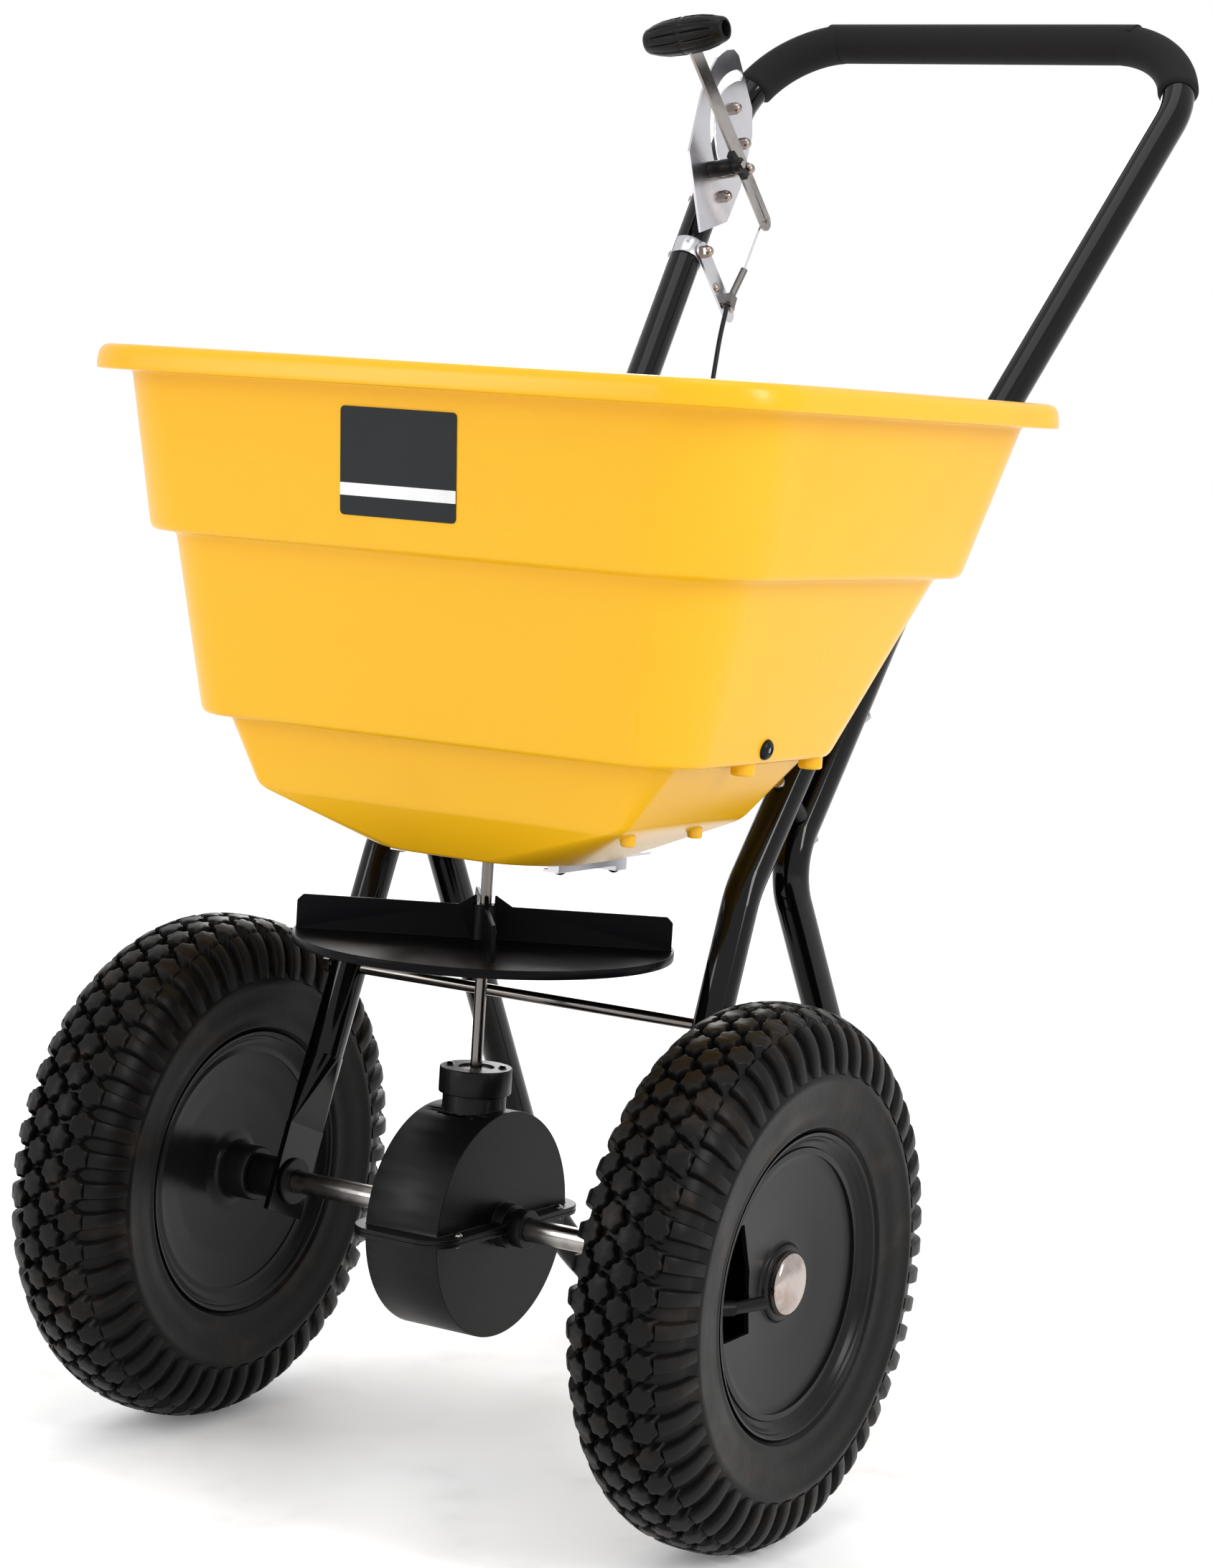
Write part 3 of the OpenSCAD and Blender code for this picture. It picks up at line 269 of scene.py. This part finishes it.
hopper = add("hopper_shell", *loft(shell(OUTER, 5.5)[::-1] + shell(INNER, 4)[1:]), YELLOW,
             "hopper_upper", "hopper_middle", "hopper_lower", angle=50)


def cut(obj, solids):
    """Takes away closed solids, given as (vertices, faces)."""
    verts, faces = [], []
    for v, f in solids:
        faces += [tuple(i + len(verts) for i in face) for face in f]
        verts += v
    mesh = bpy.data.meshes.new("cutter")
    mesh.from_pydata([tuple(v) for v in verts], [], faces)
    bm = bmesh.new()
    bm.from_mesh(mesh)
    bmesh.ops.recalc_face_normals(bm, faces=bm.faces)
    bm.to_mesh(mesh)
    bm.free()
    tool = bpy.data.objects.new("cutter", mesh)
    bpy.context.collection.objects.link(tool)
    mod = obj.modifiers.new("cut", "BOOLEAN")
    mod.operation = "DIFFERENCE"
    mod.object = tool
    bpy.context.view_layer.objects.active = obj
    bpy.ops.object.modifier_apply(modifier="cut")
    bpy.data.objects.remove(tool)


def block(lo, hi):
    """A box between two corners."""
    return loft([[Vector((x, y, z)) for x, y in ((lo.x, lo.y), (hi.x, lo.y), (hi.x, hi.y), (lo.x, hi.y))]
                 for z in (lo.z, hi.z)])


PORTS = [(-49, -23), (-13, 13), (23, 49)]
PORT_FRONT, PORT_REAR = 39.5, 52.5
cut(hopper, [block(at(a, PORT_FRONT, 420), at(b, PORT_REAR, 440)) for a, b in PORTS])


def peg(x, y, z0, z1, r, segs=24):
    """A moulded peg that hangs down from z1 to z0, with an eased end."""
    rings = []
    for z, k in ((z1, 1), (z0 + 1.5, 1), (z0 + 0.4, 0.9), (z0, 0.72)):
        rings.append([at(x + r * k * math.cos(a), y + r * k * math.sin(a), z)
                      for a in (2 * math.pi * i / segs for i in range(segs))])
    return loft(rings)


def gather(parts):
    """One list of vertices and faces from several."""
    verts, faces = [], []
    for v, f in parts:
        faces += [tuple(i + len(verts) for i in face) for face in f]
        verts += v
    return verts, faces


HALF_PEGS = [(186, 10, 497.8, 507, 8), (186, 98, 497.8, 507, 8), (134, -40, 449.2, 462, 5),
             (134, 42, 449.2, 462, 5)]
PEGS = [(s * x, *rest) for s in (-1, 1) for x, *rest in HALF_PEGS]
add("hopper_pegs", *gather([peg(*p) for p in PEGS]), YELLOW, "hopper_lower", replaces=False)


def screw_head(s):
    """A black domed head at the side of the hopper."""
    rings = []
    base, lean = at(s * 198.8, 15, 516), math.radians(7.5)
    out = Vector((s * math.cos(lean), 0, -math.sin(lean)))
    up = Vector((s * math.sin(lean), 0, math.cos(lean)))
    back = Vector((0, 1, 0))
    dome = [(6.9, -2.0), (6.9, 0.6), (6.6, 1.6), (5.6, 2.9), (3.9, 3.8), (2.6, 4.1), (2.3, 3.1), (0.1, 3.0)]
    for r, h in dome:
        rings.append([base + out * h * MM + (back * math.cos(a) + up * math.sin(a)) * r * MM
                      for a in (2 * math.pi * k / 32 for k in range(32))])
    return loft(rings)


add("side_screws", *gather([screw_head(s) for s in (-1, 1)]), PLASTIC, "hopper_bolts", replaces=False)


def front_face(x, z, out=0.0):
    """A point on the front of the top tier, or a distance out in front of it."""
    (top_z, _, top_front, _, _), (low_z, _, low_front, _, _) = OUTER[6:8]
    return at(x, top_front + (top_z - z) * (low_front - top_front) / (top_z - low_z) - out, z)


def plate_mesh(x0, x1, z0, z1, r, thick, out=0.0):
    """A plate with round corners that lies on the front of the top tier."""
    pts = []
    corners = ((x1 - r, z1 - r, 0), (x0 + r, z1 - r, 90), (x0 + r, z0 + r, 180), (x1 - r, z0 + r, 270))
    for cx, cz, a0 in corners:
        for k in range(6):
            a = math.radians(a0 + 18 * k)
            pts.append((cx + r * math.cos(a), cz + r * math.sin(a)))
    return loft([[front_face(x, z, out + o) for x, z in pts] for o in (-0.3, thick)])


PLATE_T = 0.7
add("label", *plate_mesh(-45, 45, 648.5, 717.5, 3, PLATE_T), LABEL, "label_plate")
add("label_band", *plate_mesh(-45, 45, 661, 669, 0.5, 0.12, PLATE_T), LABEL_BAND, "label_plate",
    replaces=False)


# ---------------------------------------------------------------- wheels
TYRE_R, TYRE_HALF, BEAD_R, TRACK = 178.0, 43.0, 87.0, 224.0
MID_R, TALL = (TYRE_R + BEAD_R) / 2, (TYRE_R - BEAD_R) / 2
ROUND = 2.6  # power of the tyre section's curve
TREAD = 6.4  # depth of the tread
HIP = 0.6  # how much of the tread's depth the tyre loses at its sides


def crown(h, drop=0.0):
    """Radius of the tyre's surface at a distance h from its middle, lowered by drop."""
    w, t = TYRE_HALF - drop * HIP, TALL - drop
    return MID_R + t * max(1 - (min(abs(h), w * 0.999) / w) ** ROUND, 0) ** (1 / ROUND)


def carcass():
    """The tyre without its blocks, as a closed profile of (radius, distance outwards)."""
    crest = []
    for k in range(-24, 25):
        a = math.radians(k * 3.75)
        h = (TYRE_HALF - TREAD * HIP) * math.copysign(abs(math.sin(a)) ** (2 / ROUND), math.sin(a))
        crest.append((MID_R + (TALL - TREAD) * abs(math.cos(a)) ** (2 / ROUND), h))
    side = [(138, 41.9), (136.5, 42.7), (133, 42.8), (131.5, 42), (122, 41.2), (112, 38.9), (106, 36.7),
            (104.5, 37.1), (102.5, 36.4), (101.5, 34.6), (99.4, 33.4)]
    crest = [(r, h) for r, h in crest if r > 141]
    return [(r, -h) for r, h in side[::-1]] + crest + side + [(97, 30), (97, -30)]


# Rows of studs: distance outwards, and shift round the tyre in steps
ROWS = [(-22.5, 0.0), (-7.5, 0.5), (7.5, 0.0), (22.5, 0.5)]
BLOCKS = 50
STUD_R, LOBES, LOBE_DEPTH = 7.9, 6, 0.115
STUD_AT, LUG_AT = 174, 170  # radii at which their widths are true


def stud(h0, phi, cx, side, turn):
    """A tread block with six lobes at a distance h0 outwards and an angle phi round the tyre."""
    rings = []
    for size, drop in ((1.2, 7.4), (1.08, 3.4), (1.02, 1.2), (0.95, 0.3), (0.84, 0.0)):
        ring = []
        for k in range(36):
            a = 2 * math.pi * k / 36
            r = STUD_R * size * (1 + LOBE_DEPTH * math.cos(LOBES * (a + turn)))
            h = h0 + r * math.sin(a) * 0.9
            rad = crown(h) - drop
            b = phi + r * math.cos(a) * 1.06 / STUD_AT
            ring.append(at(cx + side * h, rad * math.sin(b), AXLE_Z / MM + rad * math.cos(b)))
        rings.append(ring)
    return loft(rings, (False, True))


def lug(phi, cx, side, edge):
    """A broad bar that runs from the edge of the tread down the shoulder."""
    rings = []
    path = [(29.8, 2.6), (30.8, 0.5), (33.5, 0.0), (36.5, 0.0), (39, 0.2), (41, 0.7), (42.2, 1.4),
            (42.8, 2.6)]
    half = [(6.6, 6.6), (5.6, 1.6), (4.7, 0.3), (3.6, 0.0)]
    for h, drop in path:
        rad = crown(h) - drop
        n = Vector((h * 1.6 / TYRE_HALF, (rad - MID_R) / TALL)).normalized()
        ring = []
        for w, d in half + [(-w, d) for w, d in half[::-1]]:
            hh, rr = h - n.x * d, rad - n.y * d
            b = phi + w / LUG_AT
            ring.append(at(cx + side * edge * hh, rr * math.sin(b), AXLE_Z / MM + rr * math.cos(b)))
        rings.append(ring)
    return loft(rings)


def tyre(name, node, cx, side):
    """A tyre's carcass and tread."""
    add(name + "_carcass", *lathe_x(carcass(), cx, 144, side), RUBBER, node, angle=40)
    step = 2 * math.pi / BLOCKS
    parts = [stud(h, (i + shift) * step, cx, side, shift * 0.5) for h, shift in ROWS for i in range(BLOCKS)]
    parts += [lug((i + 0.5 * (e > 0)) * step, cx, side, e) for e in (-1, 1) for i in range(BLOCKS)]
    add(name + "_tread", *gather(parts), RUBBER, node, replaces=False, angle=32)


tyre("drive_tyre_look", "drive_tyre", TRACK, 1)
tyre("free_tyre_look", "free_tyre", -TRACK, -1)


# The rim's opening for the valve: sideways and upwards from the hub
WINDOW = [(-26, -39), (15, -43), (47.5, -57), (47.5, -90), (-26, -90)]


def rim(name, node, cx, side):
    """A rim: the barrel that the tyre sits on, its outer face, its inner cone and its hub."""
    barrel = [(88, 28), (88, -28), (84, -28), (84, 28)]
    add(name + "_barrel", *lathe_x(barrel, cx, 160, side), RIM, node, angle=48)
    face = soften([(98.9, 35.3), (96.9, 34.9), (93.5, 30.2), (87, 26.4), (79.5, 24.3), (60, 22.9),
                   (40, 21.4), (26, 20.7), (24.6, 24.4), (19, 24.6), (17, 24.4)], 2.4, 5)
    back = [(17, 17.5), (40, 18.2), (78, 20.9), (85, 23.2), (90.5, 26.8), (94.2, 32), (96.2, 33.4),
            (98.9, 33.6)]
    disc = add(name + "_face", *lathe_x(face + back, cx, 180, side), RIM, node, replaces=False, angle=40)
    depths = (cx + side * 15, cx + side * 29)
    cut(disc, [loft([[at(x, y, AXLE_Z / MM + side * z) for z, y in WINDOW] for x in depths])])
    cone = soften([(98.9, -35.3), (96.9, -34.9), (93.2, -30.5), (88, -27.8), (78, -25.8), (60, -23.2),
                   (27, -20.6), (19.6, -23.5), (19, -28)], 3.0, 5)
    cone += [(19, -44.6), (18, -46), (14.7, -46), (14.7, -20), (27, -18.2), (60, -20.8), (78, -23.4),
             (88, -25.4), (94, -32.2), (96.2, -33.4), (98.9, -33.6)]
    add(name + "_cone", *lathe_x(cone, cx, 180, side), RIM, node, replaces=False, angle=40)
    tube = [(14.4, -45), (14.4, 22), (8.1, 22), (8.1, -45)]
    add(name + "_hub", *lathe_x(tube, cx, 96, side), RIM, node, replaces=False)


rim("drive_rim_look", "drive_rim", TRACK, 1)
rim("free_rim_look", "free_rim", -TRACK, -1)


POINT_R = 0.05  # radius of the middle of a turned shape, nearly a point


def cap(name, node, cx, side):
    """A domed hub cap."""
    angles = [math.radians(a) for a in range(0, 91, 6)]
    dome = [(20.8 * math.sin(a), 27.6 + 5.9 * math.cos(a)) for a in angles]
    dome[0] = (POINT_R, dome[0][1])
    dome += [(21.1, 26.6), (21.2, 25.4), (20.6, 24.3), (17, 24.1), (POINT_R, 24.1)]
    add(name, *lathe_x(dome, cx, 96, side), CHROME, node, angle=40)


cap("drive_cap_look", "drive_cap", TRACK, 1)
cap("free_cap_look", "free_cap", -TRACK, -1)


# ---------------------------------------------------------------- swept pieces
def sweep(points, radii, sides=24):
    """A tube along points, with one radius for all or one for each."""
    pts = [Vector(p) for p in points]
    rings = []
    side = None
    for i, p in enumerate(pts):
        t = (pts[min(i + 1, len(pts) - 1)] - pts[max(i - 1, 0)]).normalized()
        if side is None:
            side = t.cross(Vector((1, 0, 0)) if abs(t.x) < 0.9 else Vector((0, 1, 0))).normalized()
        side = (side - t * side.dot(t)).normalized()
        up = t.cross(side)
        r = radii if isinstance(radii, (int, float)) else radii[i]
        rings.append([p + (side * math.cos(a) + up * math.sin(a)) * r * MM
                      for a in (2 * math.pi * k / sides for k in range(sides))])
    return loft(rings)


def smooth_route(points, per=8):
    """A Catmull-Rom curve through points."""
    p = [Vector(q) for q in points]
    p = [p[0] * 2 - p[1]] + p + [p[-1] * 2 - p[-2]]
    out = []
    for i in range(1, len(p) - 2):
        a, b, c, d = p[i - 1:i + 3]
        square, cube = 2 * a - 5 * b + 4 * c - d, 3 * b - a - 3 * c + d
        for k in range(per):
            t = k / per
            out.append(0.5 * (2 * b + (c - a) * t + square * t * t + cube * t ** 3))
    return out + [p[-2]]


def rounded(points, radii, steps=14):
    """A path with round bends at its inner points, in metres."""
    p = [Vector(q) for q in points]
    out = [p[0]]
    for i in range(1, len(p) - 1):
        u, w = (p[i] - p[i - 1]).normalized(), (p[i + 1] - p[i]).normalized()
        phi = u.angle(w)
        r = radii[i - 1] * MM
        n = (w - u * u.dot(w)).normalized()
        start = p[i] - u * r * math.tan(phi / 2)
        for k in range(steps + 1):
            a = phi * k / steps
            out.append(start + u * r * math.sin(a) + n * r * (1 - math.cos(a)))
    return out + [p[-1]]


# The bent tubes, by the middles of their right halves; the handle's legs splay above a height
TUBE_R, TUBE_SIDES = 12.7, 40
GRIP_Y, GRIP_Z, RAKE, SPLAY = 632, 1033, 0.8016, 0.1559
LEG_X, SPLAY_Z = 142.5, 652


def rake_y(z):
    """The middle of the handle's leg at a height."""
    return GRIP_Y - (GRIP_Z - z) * RAKE


def splay_x(z):
    """Half the distance between the handle's legs at a height above the splay."""
    return LEG_X + (z - SPLAY_Z) * SPLAY


def both_sides(half, radii, steps):
    """A round path down the left half of a bent tube and back up its right half."""
    return rounded([at(-x, y, z) for x, y, z in half] + [at(*p) for p in half[::-1]], radii, steps)


LEG_TOP = (LEG_X, rake_y(575), 575)
SPLAY_AT = (LEG_X, rake_y(SPLAY_Z), SPLAY_Z)
CORNER = (splay_x(GRIP_Z), GRIP_Y, GRIP_Z)
KNEE, FOOT = (146, 143.5, 424), (155.5, 383.4, TUBE_R)
handle_path = both_sides([LEG_TOP, SPLAY_AT, CORNER], [150, 75, 75, 150], 20)
add("handle_tube", *sweep(handle_path, TUBE_R, TUBE_SIDES), PAINT, "handle", angle=60)
stand_path = both_sides([LEG_TOP, KNEE, FOOT], [45, 140, 140, 45], 24)
add("rear_stand_tube", *sweep(stand_path, TUBE_R, TUBE_SIDES), PAINT, "rear_stand", angle=60)


GRIP_FROM = 990  # height of its lower ends
GRIP_R, GRIP_END_R, GRIP_ROLL = 15.8, 13.2, 3


def grip():
    """Foam that follows the handle's top and rounds in at its two ends."""
    left = [p for p in handle_path if p.x < 0]
    start = handle_path.index(min(left, key=lambda p: abs(p.z - GRIP_FROM * MM)))
    dense = smooth_route(handle_path[start:len(handle_path) - start], 3)
    lengths = [0.0]
    for a, b in zip(dense, dense[1:]):
        lengths.append(lengths[-1] + (b - a).length / MM)
    radii = []
    for s in lengths:
        e = min(s, lengths[-1] - s) / GRIP_ROLL
        rise = math.sqrt(max(1 - (1 - min(e, 1)) ** 2, 0))
        radii.append(GRIP_END_R + (GRIP_R - GRIP_END_R) * rise)
    return sweep(dense, radii, TUBE_SIDES)


foam = add("foam_grip", *grip(), FOAM, "grip", angle=60)

# The cable's sheath, from its clamp on the handle down to the gate
ROUTE = [(-147, 509, 812), (-144, 496, 786), (-140, 482, 750), (-134, 462, 712), (-127, 436, 672),
         (-118, 403, 628), (-106, 366, 584), (-91, 328, 541), (-74, 294, 502), (-54, 264, 468),
         (-32, 242, 442), (-14, 228, 430), (-3, 221, 427.4), (0, 216, 427.2), (0, 212.2, 427.2)]
SHEATH_R, WIRE_R = 1.9, 0.8
route = smooth_route([at(*p) for p in ROUTE], 6)
add("cable", *sweep(route, SHEATH_R, 12), SHEATH, "cable_sheath", angle=60)


# ---------------------------------------------------------------- lever's knob and wire
LEAN = math.atan(SPLAY)
ALONG = Vector((math.cos(LEAN), 0, math.sin(LEAN)))
FLUTES, FLUTE_DEPTH = 12, 1.5


def knob():
    """A barrel with broad flutes, a smooth ring at each end and a hollow outer end."""
    middle = sum((Vector(c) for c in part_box("lever_knob")), Vector()) / 2
    up = Vector((0, 1, 0))
    side = ALONG.cross(up)
    # Distance along the knob, radius, and share of the flutes' depth
    outline = [(-36, POINT_R, 0), (-36, 7.4, 0), (-35.4, 8.6, 0), (-33.5, 10, 0), (-29.6, 11.2, 0),
               (-28.6, 11.5, 0.4), (-26.5, 12.3, 0.9), (-18, 14.1, 1), (-9, 14.8, 1), (-2.4, 15, 1),
               (-2, 14.6, 0.3), (2, 14.6, 0.3), (2.4, 15, 1), (9, 14.8, 1), (18, 14.1, 1), (26.5, 12.3, 0.9),
               (28.6, 11.5, 0.4), (29.6, 11.2, 0), (33.5, 10, 0), (35.4, 9, 0), (36, 8, 0), (36, 6.8, 0),
               (35.2, 6.3, 0), (17, 6.2, 0), (16.6, POINT_R, 0)]
    rings = []
    for h, r, depth in outline:
        ring = []
        for k in range(120):
            a = 2 * math.pi * k / 120
            wave = min(abs(math.sin(a * FLUTES / 2)) * 2.4, 1)
            rr = r - depth * FLUTE_DEPTH * (1 - wave)
            ring.append(middle + ALONG * (h * MM) + (up * math.cos(a) + side * math.sin(a)) * (rr * MM))
        rings.append(ring)
    return loft(rings)


add("ribbed_knob", *knob(), PLASTIC, "lever_knob", angle=40)


CONTROL_Z = 934.5


def leg(x, y, z):
    """A point counted from the control's place on the left leg, with x across the leg's splay."""
    back = Vector((0, 1, 0))
    origin = at(-splay_x(CONTROL_Z), rake_y(CONTROL_Z), CONTROL_Z)
    return origin + (ALONG * x + back * y + ALONG.cross(back) * z) * MM


WIRE_HOLE = (1.21, -57.33)
WIRE_END = leg(26.5, -23.5, -97)
WIRE_HOOK = leg(31.8, *WIRE_HOLE)
wire_route = [WIRE_END + (WIRE_END - WIRE_HOOK).normalized() * 6 * MM]
wire_route += [WIRE_END.lerp(WIRE_HOOK, k / 16) for k in range(17)]
wire_route += [leg(32.4, *WIRE_HOLE), leg(39, *WIRE_HOLE)]
wire = piece("inner_wire", *sweep(wire_route, WIRE_R, 12), BRIGHT, "cable_wire", angle=60)
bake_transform(wire)


# ---------------------------------------------------------------- edges of the carried-over pieces
def ease(name, width, segments=2):
    """Rounds the edges of a CAD node's own mesh with modifiers."""
    obj = NODES[name]
    weld = obj.modifiers.new("weld", "WELD")
    weld.merge_threshold = 1e-6
    bevel = obj.modifiers.new("bevel", "BEVEL")
    bevel.width = width * MM
    bevel.segments = segments
    bevel.limit_method = "ANGLE"
    bevel.angle_limit = math.radians(40)
    bevel.use_clamp_overlap = True
    bevel.harden_normals = True


# Widths of the rounded edges in millimetres
EASED = {
    "cable_strap": 0.2, "control_plate": 0.35, "lever": 0.4, "cable_arm": 0.35, "impeller": 0.7,
    "gearbox_upper": 0.8, "gearbox_lower": 0.8, "gearbox_cap": 0.8, "gate": 0.3, "gate_guide": 0.3,
    "frame_bolts": 0.3, "hopper_bolts": 0.3, "lever_pivot": 0.3, "control_bolts": 0.3, "cable_bolts": 0.3,
    "cross_bar_nuts": 0.3, "axle_collars": 0.5, "axle_bushings": 0.5, "stop_knob": 0.5, "stop_sleeve": 0.4,
}
for name, width in EASED.items():
    ease(name, width)


# ---------------------------------------------------------------- stage, camera and light
FLOOR_HALF = 30
AZIMUTH, ELEVATION, ROLL = 31.12, 6.247, 3.691


def floor():
    """A pale floor that fades into the white behind it."""
    mesh = bpy.data.meshes.new("floor")
    corners = [(-1, -1), (1, -1), (1, 1), (-1, 1)]
    mesh.from_pydata([(x * FLOOR_HALF, y * FLOOR_HALF, 0) for x, y in corners], [], [(0, 1, 2, 3)])
    obj = bpy.data.objects.new("floor", mesh)
    bpy.context.collection.objects.link(obj)
    pale = material("pale floor", (0.92, 0.92, 0.92), 0.7, mottle=0.03, mottle_scale=2, specular=0.2)
    glow = pale.node_tree.nodes["Principled BSDF"]
    glow.inputs["Emission Color"].default_value = (1, 1, 1, 1)
    glow.inputs["Emission Strength"].default_value = 0.12
    dress(obj, pale)


def camera():
    """The camera, right of the front and a little above the object."""
    azimuth, elevation, roll = (math.radians(v) for v in (AZIMUTH, ELEVATION, ROLL))
    flat = math.cos(elevation)
    back = Vector((math.sin(azimuth) * flat, -math.cos(azimuth) * flat, math.sin(elevation)))
    level = (-back).cross(Vector((0, 0, 1))).normalized()
    upright = level.cross(-back)
    right = level * math.cos(roll) + upright * math.sin(roll)
    up = upright * math.cos(roll) - level * math.sin(roll)
    data = bpy.data.cameras.new("camera")
    data.sensor_width = 36
    data.lens = 82.52
    data.shift_x = -0.0475
    data.shift_y = 0.0112
    obj = bpy.data.objects.new("camera", data)
    bpy.context.collection.objects.link(obj)
    m = Matrix((right, up, back)).transposed().to_4x4()
    m.translation = at(1339.28, -1974.56, 729.96)
    obj.matrix_world = m
    bpy.context.scene.camera = obj


def softbox(name, place, target, size, power):
    """A rectangular area light that faces a target."""
    data = bpy.data.lights.new(name, "AREA")
    data.shape = "RECTANGLE"
    data.size, data.size_y = size
    data.energy = power
    obj = bpy.data.objects.new(name, data)
    bpy.context.collection.objects.link(obj)
    obj.location = place
    obj.rotation_euler = (Vector(target) - Vector(place)).to_track_quat("-Z", "Y").to_euler()


floor()
camera()
MIDDLE = (0, 0, 0.5)
softbox("key", (2.9, -0.6, 2.0), MIDDLE, (0.6, 1.6), 42)
softbox("fill", (-1.9, -2.9, 1.5), MIDDLE, (0.7, 1.8), 26)
softbox("top", (0.2, -0.5, 3.4), MIDDLE, (2.0, 2.0), 22)
softbox("rim", (-1.8, 2.6, 1.8), MIDDLE, (0.8, 1.8), 25)
world = bpy.data.worlds.new("studio")
world.use_nodes = True
world.node_tree.nodes["Background"].inputs["Color"].default_value = (1, 1, 1, 1)
world.node_tree.nodes["Background"].inputs["Strength"].default_value = 1.0
bpy.context.scene.world = world
bpy.context.scene.view_settings.view_transform = "Standard"
